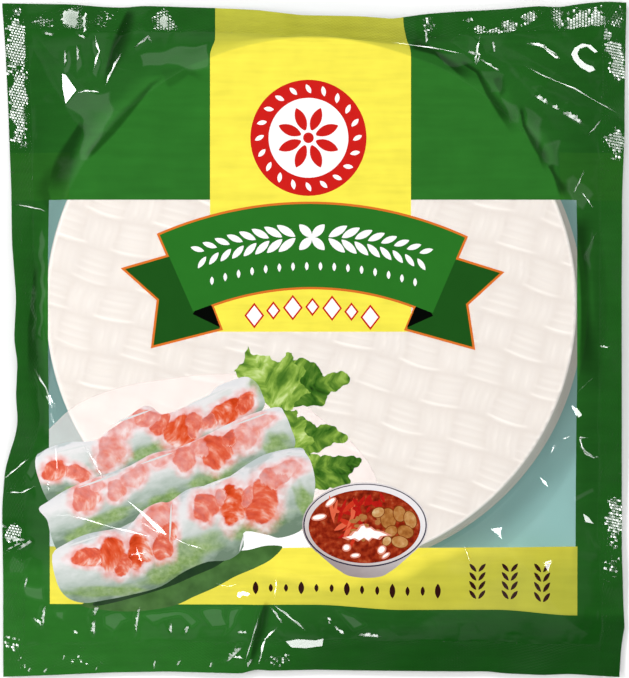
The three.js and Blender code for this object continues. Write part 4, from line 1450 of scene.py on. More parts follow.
def add_piece(name, mesh, slot, *nodes):
    """Puts a mesh in the scene in place of the nodes."""
    if not mesh.polygons:
        raise RuntimeError(f"{name} has no faces")
    piece = bpy.data.objects.new(name, mesh)
    bpy.context.scene.collection.objects.link(piece)
    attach(piece, "root")
    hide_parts(*nodes)
    return piece


def backing_values(s, t, place):
    """How much pale paper is close behind the film: 1 where it lies on the stack, 0 in a seal."""
    from_rim, to_seal, share, slack = slack_film(s, t, place[:, 0], place[:, 1])
    bridged = 8.5 * rise(13, 34, slack)
    ragged = bridged * (0.12 * np.sin(s / 6.1 + t / 3.7) + 0.10 * np.sin(t / 5.3 - s / 8.9))
    over_stack = 1 - rise(0.3 * bridged - 1.2, 1.6 * bridged + 0.8, from_rim + ragged)
    behind_panel = rise(-1.5, 1.5, np.minimum.reduce([s + 108, 108 - s, t + 112, 58 - t]))
    hollow = 0.32 + 0.18 * behind_panel + 0.25 * (1 - share) ** 2 * rise(-0.5, 1.2, to_seal)
    hollow += 0.07 * np.sin(s / 19 + 1.3) * np.sin(t / 23 + 0.4)
    lower = np.interp(s, (-120, -30, 0, 50, 85, 120), (0.9, 0.85, 0.66, 0.50, 0.36, 0.25))
    lower -= 0.22 * rise(-109, -112, t) * rise(-60, 20, s) + 0.25 * rise(-110, -128, t) * rise(-90, 10, s)
    hollow = hollow + (lower - hollow) * (1 - rise(-100, -84, t))
    return np.clip(np.maximum(over_stack, hollow), 0, 1)


def seal_bite(s, t, place):
    """How deep the sealing bar's knurling is: 0 outside the seals, and 1 where they sparkle."""
    _, to_seal, _, _ = slack_film(s, t, place[:, 0], place[:, 1])
    bite = np.full(len(s), 0.03)
    ragged = 0.18 * np.sin(s / 1.9 + np.sin(t / 2.3)) + 0.18 * np.sin(t / 1.5 + np.sin(s / 2.9))
    for centre_x, centre_y, reach_x, reach_y, strength, _ in BITTEN_SEAL:
        far = np.hypot((place[:, 0] - centre_x) / reach_x, (place[:, 1] - centre_y) / reach_y) + ragged
        bite = np.maximum(bite, strength * (1 - rise(0.2, 1.6, far)))
    return bite * rise(-0.5, 0.5, -to_seal)


def film_piece(name):
    """One part of the front film: the triangles that carry its inks, with what their inks need."""
    film = printed_film()
    chosen = [index for index, ink in enumerate(film.inks) if ink_kind(ink) in PIECE_INKS[name]]
    keep = np.isin(film.ink_of, chosen)
    if name.endswith(("_upper", "_lower")):
        is_upper = film.t[film.triangles].mean(1) > 0
        keep &= is_upper if name.endswith("_upper") else ~is_upper
    faces, ink_of = film.triangles[keep], film.ink_of[keep]
    used, faces = np.unique(faces, return_inverse=True)
    faces = faces.reshape(-1, 3)
    s, t = film.s[used], film.t[used]
    mesh = make_mesh(name, film.place[used], faces.tolist(), film.normals[keep])
    add_film_map(mesh, s, t)
    add_values(mesh, "backing", backing_values(s, t, film.place[used]))
    add_values(mesh, "seal", seal_bite(s, t, film.place[used]))
    # Painted shade along the deep folds, which darkens the ink.
    add_values(mesh, "fold", painted_fold_shade(film.place[used, 0], film.place[used, 1]))
    add_values(mesh, "flash", film.flash[keep], "FACE")
    corners = np.zeros((len(PAINT_NAMES), len(faces), 3))
    for index in chosen:
        rows = np.flatnonzero(ink_of == index)
        values = painted_values(film.inks[index], s[faces[rows]].ravel(), t[faces[rows]].ravel())
        corners[:, rows] = np.reshape(values, (len(PAINT_NAMES), -1, 3))
    if name == "front_film_serving_picture":
        for label, values in zip(PAINT_NAMES, corners):
            add_values(mesh, label, values.ravel(), "CORNER")
    kinds = list(dict.fromkeys(ink_kind(film.inks[index]) for index in chosen))
    for kind in kinds:
        mesh.materials.append(ink_material(kind))
    slot_of = {index: kinds.index(ink_kind(film.inks[index])) for index in chosen}
    mesh.polygons.foreach_set("material_index", np.array([slot_of[index] for index in ink_of], np.int32))
    piece = add_piece(name, mesh, "printed_film", "front_film")
    # Thin film lets light through, so it doesn't darken what it covers.
    piece.visible_shadow = False
    return piece


# ---------------------------------------------------------------------------------------------
# Materials
# ---------------------------------------------------------------------------------------------

def linear(code):
    """An sRGB hex colour as linear red, green, blue and alpha."""
    channels = [int(code[i:i + 2], 16) / 255 for i in (1, 3, 5)]
    return tuple(c / 12.92 if c <= 0.04045 else ((c + 0.055) / 1.055) ** 2.4 for c in channels) + (1.0,)


def ink_colour(colour):
    """A hex colour, or the user's colour of that name, as linear values."""
    if colour.startswith("#"):
        return linear(colour)
    return tuple(getattr(bpy.context.scene.rice_pack_print, colour))


def add_node(tree, kind, *values, out=0, stops=(), **settings):
    """Adds a node, sets its properties, fills or links its sockets, and gives one of its outputs. A
    word after the kind is its operation. Values fill the sockets in order, and a dictionary fills
    them by name. Stops are the positions and hex colours of a colour ramp."""
    kind, _, operation = kind.partition(" ")
    node = tree.nodes.new("ShaderNode" + kind)
    if operation:
        node.operation = operation
    for key, value in settings.items():
        setattr(node, key, value)
    sockets = {}
    for place, value in enumerate(values):
        sockets.update(value if isinstance(value, dict) else {place: value})
    for key, value in sockets.items():
        if isinstance(value, bpy.types.NodeSocket):
            tree.links.new(value, node.inputs[key])
        else:
            node.inputs[key].default_value = value
    if stops:
        elements = node.color_ramp.elements
        while len(elements) < len(stops):
            elements.new(0.5)
        for element, (position, code) in zip(elements, stops):
            element.position = position
            element.color = linear(code)
    return node.outputs[out] if node.outputs else None


# How a Mix node is set to mix colours: its factor is socket 0, and the colours are 6 and 7.
COLOURS = {"data_type": "RGBA", "out": 2}


def new_material(name):
    """An empty material, and the function that adds a node to it."""
    material = bpy.data.materials.new(name)
    material.use_nodes = True
    material.node_tree.nodes.clear()
    return material, functools.partial(add_node, material.node_tree)


def film_point(add, scale):
    """The flat film's place, in millimetres times scale."""
    return add("VectorMath SCALE", add("UVMap", uv_map="film"), {"Scale": 100.0 * scale})


FILM_GLOSS = 0.06
FILM_IOR = 1.5
# How much rougher than open film the knurled seals are, and the sharp folds that flash.
SEAL_SPREAD = 0.10
FLASH_SPREAD = 0.06
WRINKLE_SIZE = 5.0
WRINKLE_HEIGHT = 0.04
# The share of a row that a dent takes, how far the rows lean, and the slope between the dents.
DENT_LENGTH = 0.72
ROW_LEAN = 0.22
SHALLOW_SLOPE = 0.09


def film_relief(add):
    """The staggered rows of small dents that a hot sealing bar presses into the seals, each a little
    different and deepest where it bit, and the slight waviness of thin stretched film everywhere."""
    s = add("SeparateXYZ", film_point(add, 1.0))
    t = add("Math MULTIPLY_ADD", s, ROW_LEAN, s.node.outputs["Y"])
    at_side = add("Math GREATER_THAN", add("Math ABSOLUTE", s), PACK_WIDTH / 2 - SEAL_WIDTH["left"])
    down = add("Math DIVIDE", add("Math MULTIPLY_ADD", add("Math SUBTRACT", s, t), at_side, t), KNURL_PITCH)
    past = add("Math SUBTRACT", add("Math ADD", s, t), add("Math MULTIPLY", down, KNURL_PITCH))
    along = add("Math DIVIDE", past, KNURL_PITCH)
    row = add("Math FLOOR", along)
    down = add("Math MULTIPLY_ADD", row, 0.5, down)
    roof = add("Math MULTIPLY", add("Math PINGPONG", down, 0.5), KNURL_PITCH)
    in_dent = add("Math LESS_THAN", add("Math FRACT", along), DENT_LENGTH)
    chance = add("TexWhiteNoise", add("CombineXYZ", add("Math FLOOR", down), row))
    spread = add("SeparateColor", chance.node.outputs["Color"], out="Green")
    no_flash = add("Math SUBTRACT", 1.0, add("Attribute", attribute_name="flash", out="Fac"))
    bite = add("Math MULTIPLY", add("Attribute", attribute_name="seal", out="Fac"), no_flash)
    bitten = add("Math LESS_THAN", add("Math MULTIPLY_ADD", chance, 0.5, 0.2), bite)
    bitten = add("Math MULTIPLY", bitten, in_dent)
    loose = add("Math MAXIMUM", add("Math MULTIPLY_ADD", bite, -0.22, 0.21), 0.02)
    slope = add("Math MULTIPLY_ADD", add("Math SUBTRACT", spread, 0.5), loose, KNURL_SLOPE)
    slope = add("Math MULTIPLY_ADD", add("Math SUBTRACT", slope, SHALLOW_SLOPE), bitten, SHALLOW_SLOPE)
    slope = add("Math MULTIPLY", slope, add("Math GREATER_THAN", bite, 0.01))
    dents = add("Bump", {"Strength": 1.0, "Distance": MM, "Height": add("Math MULTIPLY", roof, slope)})
    wrinkle = add("TexNoise", film_point(add, 1 / WRINKLE_SIZE), {
        "Scale": 1.0, "Detail": 2.0, "Roughness": 0.45})
    return add("Bump", {
        "Strength": no_flash, "Distance": WRINKLE_HEIGHT * MM, "Height": wrinkle, "Normal": dents})


def printed_shader(add, colour):
    """Reverse-printed polypropylene: the ink is matt and lies under clear film, so its colour is
    even and deep, and the film's outer face gives one hard, bright reflection. The knurled seals
    spread it a little."""
    flash = add("Attribute", attribute_name="flash", out="Fac")
    spread = add("Math MULTIPLY_ADD", flash, FLASH_SPREAD, FILM_GLOSS)
    seal = add("Attribute", attribute_name="seal", out="Fac")
    return add("BsdfPrincipled", {
        "Base Color": colour, "Roughness": add("Math MULTIPLY_ADD", seal, SEAL_SPREAD, spread),
        "IOR": FILM_IOR, "Normal": film_relief(add)})


def blotches(add, size, detail=2.0):
    """Cloudy noise on the flat film, of a size in millimetres."""
    return add("TexNoise", film_point(add, 1 / size), {"Scale": 1.0, "Detail": detail})


def painted_ripple_shade(add):
    """Painted shade of the film's faint waves, which run across the pack: 3 mm from one to the next,
    25 mm long. They are lighter and darker bands in the ink, not relief.
    """
    s = add("SeparateXYZ", film_point(add, 1.0))
    t = s.node.outputs["Y"]
    along = add("Math MULTIPLY_ADD", t, 0.012, add("Math DIVIDE", s, 25.0))
    stretched = add("CombineXYZ", along, add("Math DIVIDE", t, 3.0))
    return add("TexNoise", stretched, {"Scale": 1.0, "Detail": 2.0})


def over_white(name, deep, bright, power=1.0):
    """A thin ink that is bright where pale paper lies behind it and deep where nothing does, with
    painted shade along the film's faint waves and deep folds.
    """
    material, add = new_material(name)
    backing = add("Math POWER", add("Attribute", attribute_name="backing", out="Fac"), power)
    colour = add("Mix", backing, {6: ink_colour(deep), 7: ink_colour(bright)}, **COLOURS)
    uneven = add("Math MULTIPLY_ADD", blotches(add, 11.0), 0.24, 0.88)
    # Painted shade: lighter and darker bands for the film's faint waves.
    uneven = add("Math MULTIPLY_ADD", painted_ripple_shade(add), 0.26, add("Math SUBTRACT", uneven, 0.13))
    # Painted shade: the ink is darker along the deep folds.
    fold = add("Attribute", attribute_name="fold", out="Fac")
    uneven = add("Math MULTIPLY", uneven, add("Math MULTIPLY_ADD", fold, -0.62, 1.0))
    grey = add("CombineColor", uneven, uneven, uneven)
    colour = add("Mix", 1.0, {6: colour, 7: grey}, blend_type="MULTIPLY", **COLOURS)
    add("OutputMaterial", printed_shader(add, colour))
    return material


def plain_ink(name, code, shade="#000000", share=0.12, size=9.0):
    """A full-strength ink with the faint mottle of a flexographic plate."""
    material, add = new_material(name)
    mottle = add("Math MULTIPLY", blotches(add, size), share)
    colour = add("Mix", mottle, {6: ink_colour(code), 7: ink_colour(shade)}, **COLOURS)
    add("OutputMaterial", printed_shader(add, colour))
    return material


def clear_window(name):
    """Unprinted biaxially stretched polypropylene: clear, so only its reflection shows."""
    material, add = new_material(name)
    relief = film_relief(add)
    both_faces = add("Math MULTIPLY", add("Fresnel", {"IOR": FILM_IOR, "Normal": relief}), 2.0)
    flash = add("Attribute", attribute_name="flash", out="Fac")
    spread = add("Math MULTIPLY_ADD", flash, FLASH_SPREAD, FILM_GLOSS)
    gloss = add("BsdfGlossy", {"Roughness": spread, "Normal": relief})
    clear = add("BsdfTransparent")
    add("OutputMaterial", add("MixShader", add("Math MINIMUM", both_faces, 1.0), clear, gloss))
    return material


def thin_white(name, code, cover):
    """A thin white tint on clear film: what is behind it shows through, paler."""
    material, add = new_material(name)
    colour = add("Mix", blotches(add, 12.0), {6: linear(code), 7: linear("#f8ebe6")}, **COLOURS)
    add("OutputMaterial", add("MixShader", cover, add("BsdfTransparent"), printed_shader(add, colour)))
    return material


def roll_print(name):
    """The picture of a roll: a pale wrapper that is whitest along its upper side, with leaves and
    prawns showing through it, clear where they touch it and blurred to pink where they don't."""
    material, add = new_material(name)
    labels = ("across", "along", "first", "second", "clear")
    side, length, inside_prawn, greens, shows = (
        add("Attribute", attribute_name=label, out="Fac") for label in labels)
    across = add("Math MULTIPLY_ADD", side, 0.5, 0.5)
    cloud = blotches(add, 6.0, 3.0)
    fine = blotches(add, 1.8, 3.0)
    stretched = add("CombineXYZ", add("Math MULTIPLY", length, 0.09), add("Math MULTIPLY", side, 2.6))
    streaks = add("TexNoise", stretched, {"Scale": 1.0, "Detail": 3.0, "Roughness": 0.6})
    level = add("Math MULTIPLY_ADD", streaks, 0.5, add("Math SUBTRACT", across, 0.25))
    level = add("Math MULTIPLY_ADD", cloud, 0.3, add("Math SUBTRACT", level, 0.15))
    wrapper = add("ValToRGB", level, stops=(
        (0.0, "#6a7f6c"), (0.12, "#8a9c8c"), (0.30, "#a9b5ac"), (0.52, "#c3c9c5"), (0.74, "#dddbdb"),
        (0.92, "#d4d4d6"), (1.0, "#b3bcbc")))
    leaf_mask = add("Math MULTIPLY", greens, add("Math MULTIPLY_ADD", cloud, 1.1, 0.25))
    leafy = add("ValToRGB", add("Math MULTIPLY_ADD", fine, 0.55, add("Math MULTIPLY", streaks, 0.5)), stops=(
        (0.22, "#4e6e2b"), (0.45, "#719045"), (0.62, "#8fa869"), (0.85, "#b4c0a6")))
    colour = add("Mix", add("Math MINIMUM", leaf_mask, 0.9), {6: wrapper, 7: leafy}, **COLOURS)
    ragged = add("Math MULTIPLY_ADD", cloud, 0.7, add("Math MULTIPLY_ADD", fine, 0.2, -0.45))
    depth = add("Math ADD", inside_prawn, ragged)
    blur = add("Math MULTIPLY_ADD", blotches(add, 4.0, 1.0), 0.7, add("Math MULTIPLY", streaks, 0.1))
    pink = add("ValToRGB", add("Math MULTIPLY_ADD", fine, 0.2, blur), stops=(
        (0.36, "#dd8e84"), (0.48, "#e3b5b3"), (0.62, "#e8d8d9")))
    blurred = add("MapRange", depth, 0.15, 0.85, interpolation_type="SMOOTHSTEP")
    colour = add("Mix", add("Math MULTIPLY", blurred, 0.85), {6: colour, 7: pink}, **COLOURS)
    touching = add("MapRange", depth, 0.84, 1.02, interpolation_type="SMOOTHSTEP")
    flesh = prawn_colour(add, fine)
    colour = add("Mix", add("Math MULTIPLY", touching, shows), {6: colour, 7: flesh}, **COLOURS)
    add("OutputMaterial", printed_shader(add, colour))
    return material


def prawn_colour(add, fine):
    """A boiled prawn: deep orange-red along its back, paler at its belly, and streaked across."""
    along = add("Attribute", attribute_name="prawn_along", out="Fac")
    across = add("Attribute", attribute_name="prawn_across", out="Fac")
    bent = add("Math MULTIPLY_ADD", add("Math MULTIPLY", across, across), 1.4, along)
    stretched = add("CombineXYZ", add("Math MULTIPLY", bent, 0.34), add("Math MULTIPLY", across, 0.8))
    rings = add("TexNoise", stretched, {"Scale": 1.0, "Detail": 2.5, "Roughness": 0.6})
    level = add("Math MULTIPLY_ADD", across, -0.10, add("Math MULTIPLY_ADD", rings, 1.15, -0.06))
    level = add("Math MULTIPLY_ADD", fine, 0.1, add("Math SUBTRACT", level, 0.03))
    return add("ValToRGB", level, stops=(
        (0.26, "#b33510"), (0.42, "#cb441e"), (0.54, "#d45835"), (0.66, "#dd846c"), (0.82, "#e7cbc5")))


def leaf_print(name):
    """The picture of a frilled leaf: folds in bright and deep green that fan out from its vein."""
    material, add = new_material(name)
    labels = ("across", "along", "first")
    across, along, tint = (add("Attribute", attribute_name=label, out="Fac") for label in labels)
    slant = add("Math MULTIPLY_ADD", add("Math ABSOLUTE", across), -6.0, along)
    fan = add("CombineXYZ", add("Math MULTIPLY", slant, 0.20), add("Math MULTIPLY", across, 0.9),
              add("Math MULTIPLY", tint, 7.0))
    folds = add("TexNoise", fan, {"Scale": 1.0, "Detail": 3.0, "Roughness": 0.55, "Distortion": 0.6})
    level = add("Math MULTIPLY_ADD", folds, 1.9, add("Math MULTIPLY_ADD", tint, 0.40, -0.72))
    level = add("Math MULTIPLY_ADD", blotches(add, 1.6), 0.16, level)
    colour = add("ValToRGB", level, stops=(
        (0.0, "#1a300d"), (0.2, "#325f1a"), (0.42, "#507728"), (0.64, "#779a3a"), (0.84, "#9cb957"),
        (1.0, "#bfd389")))
    add("OutputMaterial", printed_shader(add, colour))
    return material


def peanut_print(name):
    """The picture of a roasted nut: golden brown, blotched, and each a little darker or paler."""
    material, add = new_material(name)
    tint = add("Attribute", attribute_name="first", out="Fac")
    level = add("Math MULTIPLY_ADD", tint, 0.35, add("Math MULTIPLY", blotches(add, 2.2), 0.9))
    colour = add("ValToRGB", level, stops=(
        (0.2, "#81461a"), (0.5, "#a76d35"), (0.8, "#bf905a"), (1.0, "#d1b486")))
    add("OutputMaterial", printed_shader(add, colour))
    return material


def bowl_print(name, dark, pale):
    """Glazed porcelain in a picture, shaded from its left side to its right."""
    material, add = new_material(name)
    across, up = (add("Attribute", attribute_name=label, out="Fac") for label in ("across", "along"))
    level = add("Math MULTIPLY_ADD", across, 0.32, add("Math MULTIPLY_ADD", up, 0.35, 0.6))
    level = add("Math MULTIPLY_ADD", blotches(add, 7.0), 0.2, level)
    colour = add("Mix", level, {6: linear(dark), 7: linear(pale)}, **COLOURS)
    add("OutputMaterial", printed_shader(add, colour))
    return material


def sauce_print(name):
    """The picture of a thin chilli sauce: red-brown, with paler bits floating in it."""
    material, add = new_material(name)
    colour = add("ValToRGB", blotches(add, 2.6, 3.0), stops=(
        (0.25, "#521108"), (0.45, "#81200e"), (0.6, "#9c3519"), (0.8, "#b96c45")))
    add("OutputMaterial", printed_shader(add, colour))
    return material


# Each ink: the function that makes its material, the material's name, and its colours, as hex
# codes or as the names of the user's colours, then for some how strong and how large the mottle is.
INKS = {
    "window": (clear_window, "bopp_clear_window_film"),
    "green": (over_white, "bopp_film_green_flexo_ink", "#134412", "green"),
    "green_over_yellow": (over_white, "bopp_film_green_ink_over_yellow", "#1d5117", "#2c6721"),
    "yellow": (over_white, "bopp_film_yellow_flexo_ink", "#5e7828", "yellow", 0.75),
    "ribbon_edge": (plain_ink, "bopp_film_orange_ink", "orange"),
    "ribbon_tail": (plain_ink, "bopp_film_dark_green_ink", "#1d511a"),
    "ribbon_fold": (plain_ink, "bopp_film_black_ink", "#060806"),
    "ribbon_green": (plain_ink, "bopp_film_ribbon_green_ink", "ribbon_green"),
    "print_red": (plain_ink, "bopp_film_red_ink", "red"),
    "print_white": (plain_ink, "bopp_film_white_ink", "#f4f1f2", "#dedbdc"),
    "print_brown": (plain_ink, "bopp_film_dark_brown_ink", "#2e0f0d"),
    "printed_sheet": (thin_white, "bopp_film_thin_white_ink", "#e9dbdb", 0.42),
    "printed_sheet_edge": (thin_white, "bopp_film_thin_grey_line", "#cdbcbc", 0.6),
    "printed_gap": (plain_ink, "bopp_film_bright_white_ink", "#fbfbfb", "#f0f0ee"),
    "print_gleam_edge": (plain_ink, "ink_gleam_edge", "#dd9a86", "#c86a50", 0.5, 1.2),
    "print_gleam": (plain_ink, "ink_gleam", "#fbf6f4", "#f2d6cc", 0.4, 1.6),
    "roll": (roll_print, "ink_summer_roll"),
    "roll_seam": (plain_ink, "ink_wrapper_seam", "#dfdfdf", "#b4bbb8", 0.7, 5.0),
    "leaf": (leaf_print, "ink_lettuce_leaf"),
    "under_leaf": (plain_ink, "ink_banana_leaf", "#527c40", "#28481e", 1.0, 6.0),
    "under_shadow": (plain_ink, "ink_shadow_under_roll", "#192e1e", "#304e27", 0.6, 5.0),
    "bowl": (bowl_print, "ink_porcelain_outside", "#847576", "#d0cbcb"),
    "bowl_line": (plain_ink, "ink_navy_rim_line", "#27203a"),
    "bowl_inside": (bowl_print, "ink_porcelain_inside", "#aa9b97", "#e1ddde"),
    "sauce": (sauce_print, "ink_dipping_sauce"),
    "carrot": (plain_ink, "ink_carrot_strip", "#d63f26", "#a22011", 0.9, 2.0),
    "carrot_lit": (plain_ink, "ink_carrot_strip_lit", "#dd6a4a", "#c8472e", 0.8, 2.0),
    "chilli": (plain_ink, "ink_chilli_flake", "#c71f19", "#72100a", 0.8, 1.5),
    "garlic": (plain_ink, "ink_chopped_garlic", "#b97f49", "#84441b", 0.8, 1.2),
    "peanut": (peanut_print, "ink_roasted_peanut"),
    "peanut_edge": (plain_ink, "ink_peanut_shadow", "#813c13", "#5c260a", 0.7, 2.0),
}


@functools.lru_cache(maxsize=None)
def ink_material(kind):
    maker, name, *looks = INKS[kind]
    return maker(name, *looks)


# ---------------------------------------------------------------------------------------------
# Rice paper
# ---------------------------------------------------------------------------------------------

MAT_TURN = math.radians(-14.5)
STRIP_PITCH = 14.0
RIDGE_PITCH = 2.9
WEAVE_DEPTH = 0.14
# The top sheet is cut finest across the mat's lines.
WEAVE_STEP = (0.95, 0.45)
# The painted highlights along a strip, where its edge stands proud: how far up they lie, how bright
# they are, and half their width.
STRIP_HIGHLIGHTS = ((0.0, 1.0, 0.036), (0.27, 0.4, 0.030), (0.5, 0.32, 0.028))


def woven_height(u, v, ridges_in_strip):
    """The print of a plain bamboo mat at places along and across it, in strips: its height, 0 to 1,
    and painted highlights: a bright line where the lower edge of each strip that lies across stands
    proud, and fainter ones along the strips that lie upright."""
    u = u + 0.05 * np.sin(v * 2.3) + 0.02 * np.sin(v * 7.1 + u)
    v = v + 0.05 * np.sin(u * 1.9 + 0.8)
    column, row = np.floor(u), np.floor(v)
    fu, fv = u - column, v - row
    lies_across = (column + row) % 2 == 0
    along = np.where(lies_across, fu, fv)
    over = np.where(lies_across, fv, fu)
    wander = 0.3 * np.sin(column * 12.9 + row * 7.7)
    bow = np.sin(np.pi * along) ** 0.5
    ridges = 0.5 + 0.5 * np.cos(2 * np.pi * (over * ridges_in_strip + wander))
    gap = rise(0, 0.08, over) * (1 - rise(0.92, 1, over))
    height = bow * (0.6 + 0.4 * ridges) * (0.5 + 0.5 * gap)
    line = np.zeros_like(u)
    for step in (-1, 0, 1):
        for lift, strength, width in STRIP_HIGHLIGHTS:
            level = np.round(v - 0.12 - lift)
            first = column + step
            starts = (first + level) % 2 == 0
            run = u - first
            luck = 0.5 + 0.5 * np.sin(first * 5.3 + level * 8.9 + lift * 40)
            bend = 0.12 + lift + 0.10 * (run - 0.55) ** 2 - 0.02 + 0.02 * np.sin(first * 3.7 + level * 1.3)
            near = np.exp(-(((v - level - bend) / width) ** 2))
            reach = rise(-0.22, 0.0, run - 0.25 * lift) * (1 - rise(0.7 + 0.3 * luck, 1.25, run + 0.5 * lift))
            bright = strength * (0.55 + 0.45 * luck) * (1.05 - 0.45 * np.abs(run - 0.25))
            line = np.maximum(line, np.where(starts, near * reach * bright, 0))
    upright = rise(0.1, 0.4, fv) * (1 - rise(0.6, 0.95, fv)) * (0.4 + 0.6 * np.abs(np.sin(column * 3 + row)))
    for share in (0.3, 0.7):
        near = np.exp(-(((np.abs(fu - share + 0.05 * wander)) / 0.03) ** 2))
        line = np.maximum(line, np.where(lies_across, 0, 0.45 * near * upright))
    return height, np.clip(line, 0, 1)


def paper_material(name="rice_paper_dried_on_bamboo_mat"):
    """Steamed rice starch dried on a woven mat: milky and slightly translucent, so light goes a
    little way in and softens its edges, with a dull shine."""
    material, add = new_material(name)
    place = add("TexCoord", out="Object")
    cloud = add("TexNoise", place, {"Scale": 1 / (38 * MM), "Detail": 3.0})
    fibre = add("TexNoise", place, {"Scale": 1 / (1.1 * MM), "Detail": 2.0})
    labels = ("weave", "line", "edge")
    weave, line, edge = (add("Attribute", attribute_name=label, out="Fac") for label in labels)
    # Painted shade in the hollows of the mat's print.
    hollow = add("Math MULTIPLY", add("Math SUBTRACT", 1.0, weave), 0.38)
    colour = add("Mix", cloud, {6: linear("#d7d1cb"), 7: linear("#ded8d2")}, **COLOURS)
    # Painted highlights on the print's raised lines and along the top sheet's rim, and the grey of the
    # sheets' cut edges with painted shade on the stack's side.
    for share, code in ((hollow, "#c6bbb3"), (line, "#eae5df"), (edge, "#bdbab1")):
        colour = add("Mix", share, {6: colour, 7: linear(code)}, **COLOURS)
    relief = add("Bump", {"Strength": 0.5, "Distance": 0.03 * MM, "Height": fibre})
    add("OutputMaterial", add("BsdfPrincipled", {
        "Base Color": colour, "Roughness": 0.48, "IOR": 1.45, "Normal": relief,
        "Subsurface Weight": 0.12, "Subsurface Radius": (1.0, 0.9, 0.75), "Subsurface Scale": 1.2 * MM}))
    return material


def wavering_ring(seed, count, waves, height):
    """Angles round a sheet's rim, and how far the rim wavers out or in at each of them."""
    phases = np.random.default_rng(seed).uniform(0, 2 * math.pi, waves)
    angles = 2 * np.pi * np.arange(count) / count
    return angles, sum(np.sin(angles * (k + 2) + phases[k]) / (k + 2) for k in range(waves)) * height


def top_sheet(node):
    """The sheet that shows: its woven print is real relief, with a finely rounded rim."""
    low, high = node_box(node)
    centre = (low + high) / 2
    count = 720
    angles, waver = wavering_ring(3, count, 5, 0.25)
    reach = SHEET_RADIUS - 0.3 + waver
    ring = np.column_stack([reach * np.cos(angles), reach * np.sin(angles)])
    grid = np.array(np.meshgrid(np.arange(-111, 111, WEAVE_STEP[0]), np.arange(-111, 111, WEAVE_STEP[1])))
    grid = grid.reshape(2, -1).T
    turn = np.array([[math.cos(MAT_TURN), math.sin(MAT_TURN)], [-math.sin(MAT_TURN), math.cos(MAT_TURN)]])
    grid = grid[np.hypot(grid[:, 0], grid[:, 1]) < SHEET_RADIUS - 1.2] @ turn
    flat, faces = cut_flat([ring], grid, 1e-4)
    settings = bpy.context.scene.rice_pack_sheets
    strip = settings.strip_pitch / MM
    along_mat = (flat[:, 0] * math.cos(MAT_TURN) + flat[:, 1] * math.sin(MAT_TURN)) / strip
    across_mat = (-flat[:, 0] * math.sin(MAT_TURN) + flat[:, 1] * math.cos(MAT_TURN)) / strip
    weave, line = woven_height(along_mat, across_mat, strip / RIDGE_PITCH)
    to_rim = SHEET_RADIUS - np.hypot(flat[:, 0], flat[:, 1])
    shoulder = rise(0.2, 2.5, to_rim)
    depth = settings.weave_depth / MM * (1 - weave) * shoulder + 0.05 * (1 - shoulder)
    upper = np.column_stack([flat + centre[:2], high[2] - depth])
    lower = np.column_stack([ring + centre[:2], np.full(count, low[2])])
    base = len(upper)
    skirt = [(i, base + i, base + (i + 1) % count) for i in range(count)]
    skirt += [(i, base + (i + 1) % count, (i + 1) % count) for i in range(count)]
    middle = base + count
    under = [(middle, base + (i + 1) % count, base + i) for i in range(count)]
    place = np.vstack([upper, lower, [[centre[0], centre[1], low[2]]]])
    mesh = make_mesh(node + "_woven", place, np.vstack([faces, skirt, under]).tolist())
    add_values(mesh, "weave", np.concatenate([weave, np.full(count + 1, 0.7)]))
    # A painted highlight along the rounded rim, carried in the line values.
    lit_rim = 1 - rise(0.2, 1.6, np.abs(to_rim - 0.4))
    add_values(mesh, "line", np.concatenate([np.maximum(line, lit_rim), np.zeros(count + 1)]))
    # The side wall takes the grey of a cut edge with painted shade.
    add_values(mesh, "edge", np.concatenate([np.zeros(len(flat)), np.full(count + 1, 0.8)]))
    return mesh


# The rim of a lower sheet, from above to below: how far in, its height as a share of half the
# sheet's thickness, and how dark it is painted, with the grey of a cut edge and painted shade.
RIM_PROFILE = ((-30.0, 1, 0.3), (-6.0, 1, 0.45), (-0.35, 1, 0.75), (-0.08, 0.55, 0.9), (0.0, 0.0, 1.0),
               (-0.08, -0.55, 1.0), (-0.35, -1, 0.8), (-30.0, -1, 0.5))


def lower_sheet(node, number):
    """A sheet in the stack: a thin disc with a slightly uneven, rounded rim."""
    low, high = node_box(node)
    centre = (low + high) / 2
    half = (high[2] - low[2]) / 2
    count = 300
    angles, waver = wavering_ring(100 + number, count, 6, 0.22)
    radius = (high[0] - low[0]) / 2 - 0.15
    rings = []
    for inset, height, _ in RIM_PROFILE:
        reach = radius + inset + waver
        rings.append(np.column_stack([centre[0] + reach * np.cos(angles), centre[1] + reach * np.sin(angles),
                                      np.full(count, centre[2] + half * height)]))
    faces = []
    for first in range(0, (len(rings) - 1) * count, count):
        for i in range(count):
            j = (i + 1) % count
            faces.append((first + j, first + i, first + count + i, first + count + j))
    top_middle = len(rings) * count
    faces += [(top_middle, i, (i + 1) % count) for i in range(count)]
    last = top_middle - count
    faces += [(top_middle + 1, last + (i + 1) % count, last + i) for i in range(count)]
    place = np.vstack(rings + [[[centre[0], centre[1], high[2]], [centre[0], centre[1], low[2]]]])
    mesh = make_mesh(node + "_disc", place, faces)
    # Painted shade and edge grey on the rim, varied a little from one sheet to the next above the eighteenth.
    band = 0.75 + 0.25 * math.sin(number * 1.7) if number > 18 else 1.0
    dark = np.concatenate([np.full(count, dark) for _, _, dark in RIM_PROFILE] + [[0.3, 0.4]])
    add_values(mesh, "weave", np.full(len(place), 0.8))
    add_values(mesh, "line", np.zeros(len(place)))
    add_values(mesh, "edge", dark * band)
    return mesh


# ---------------------------------------------------------------------------------------------
# The back film
# ---------------------------------------------------------------------------------------------

BACK_STEP = 1.4
TEAL_PANEL = (-112.5, -114, 111.5, 61)


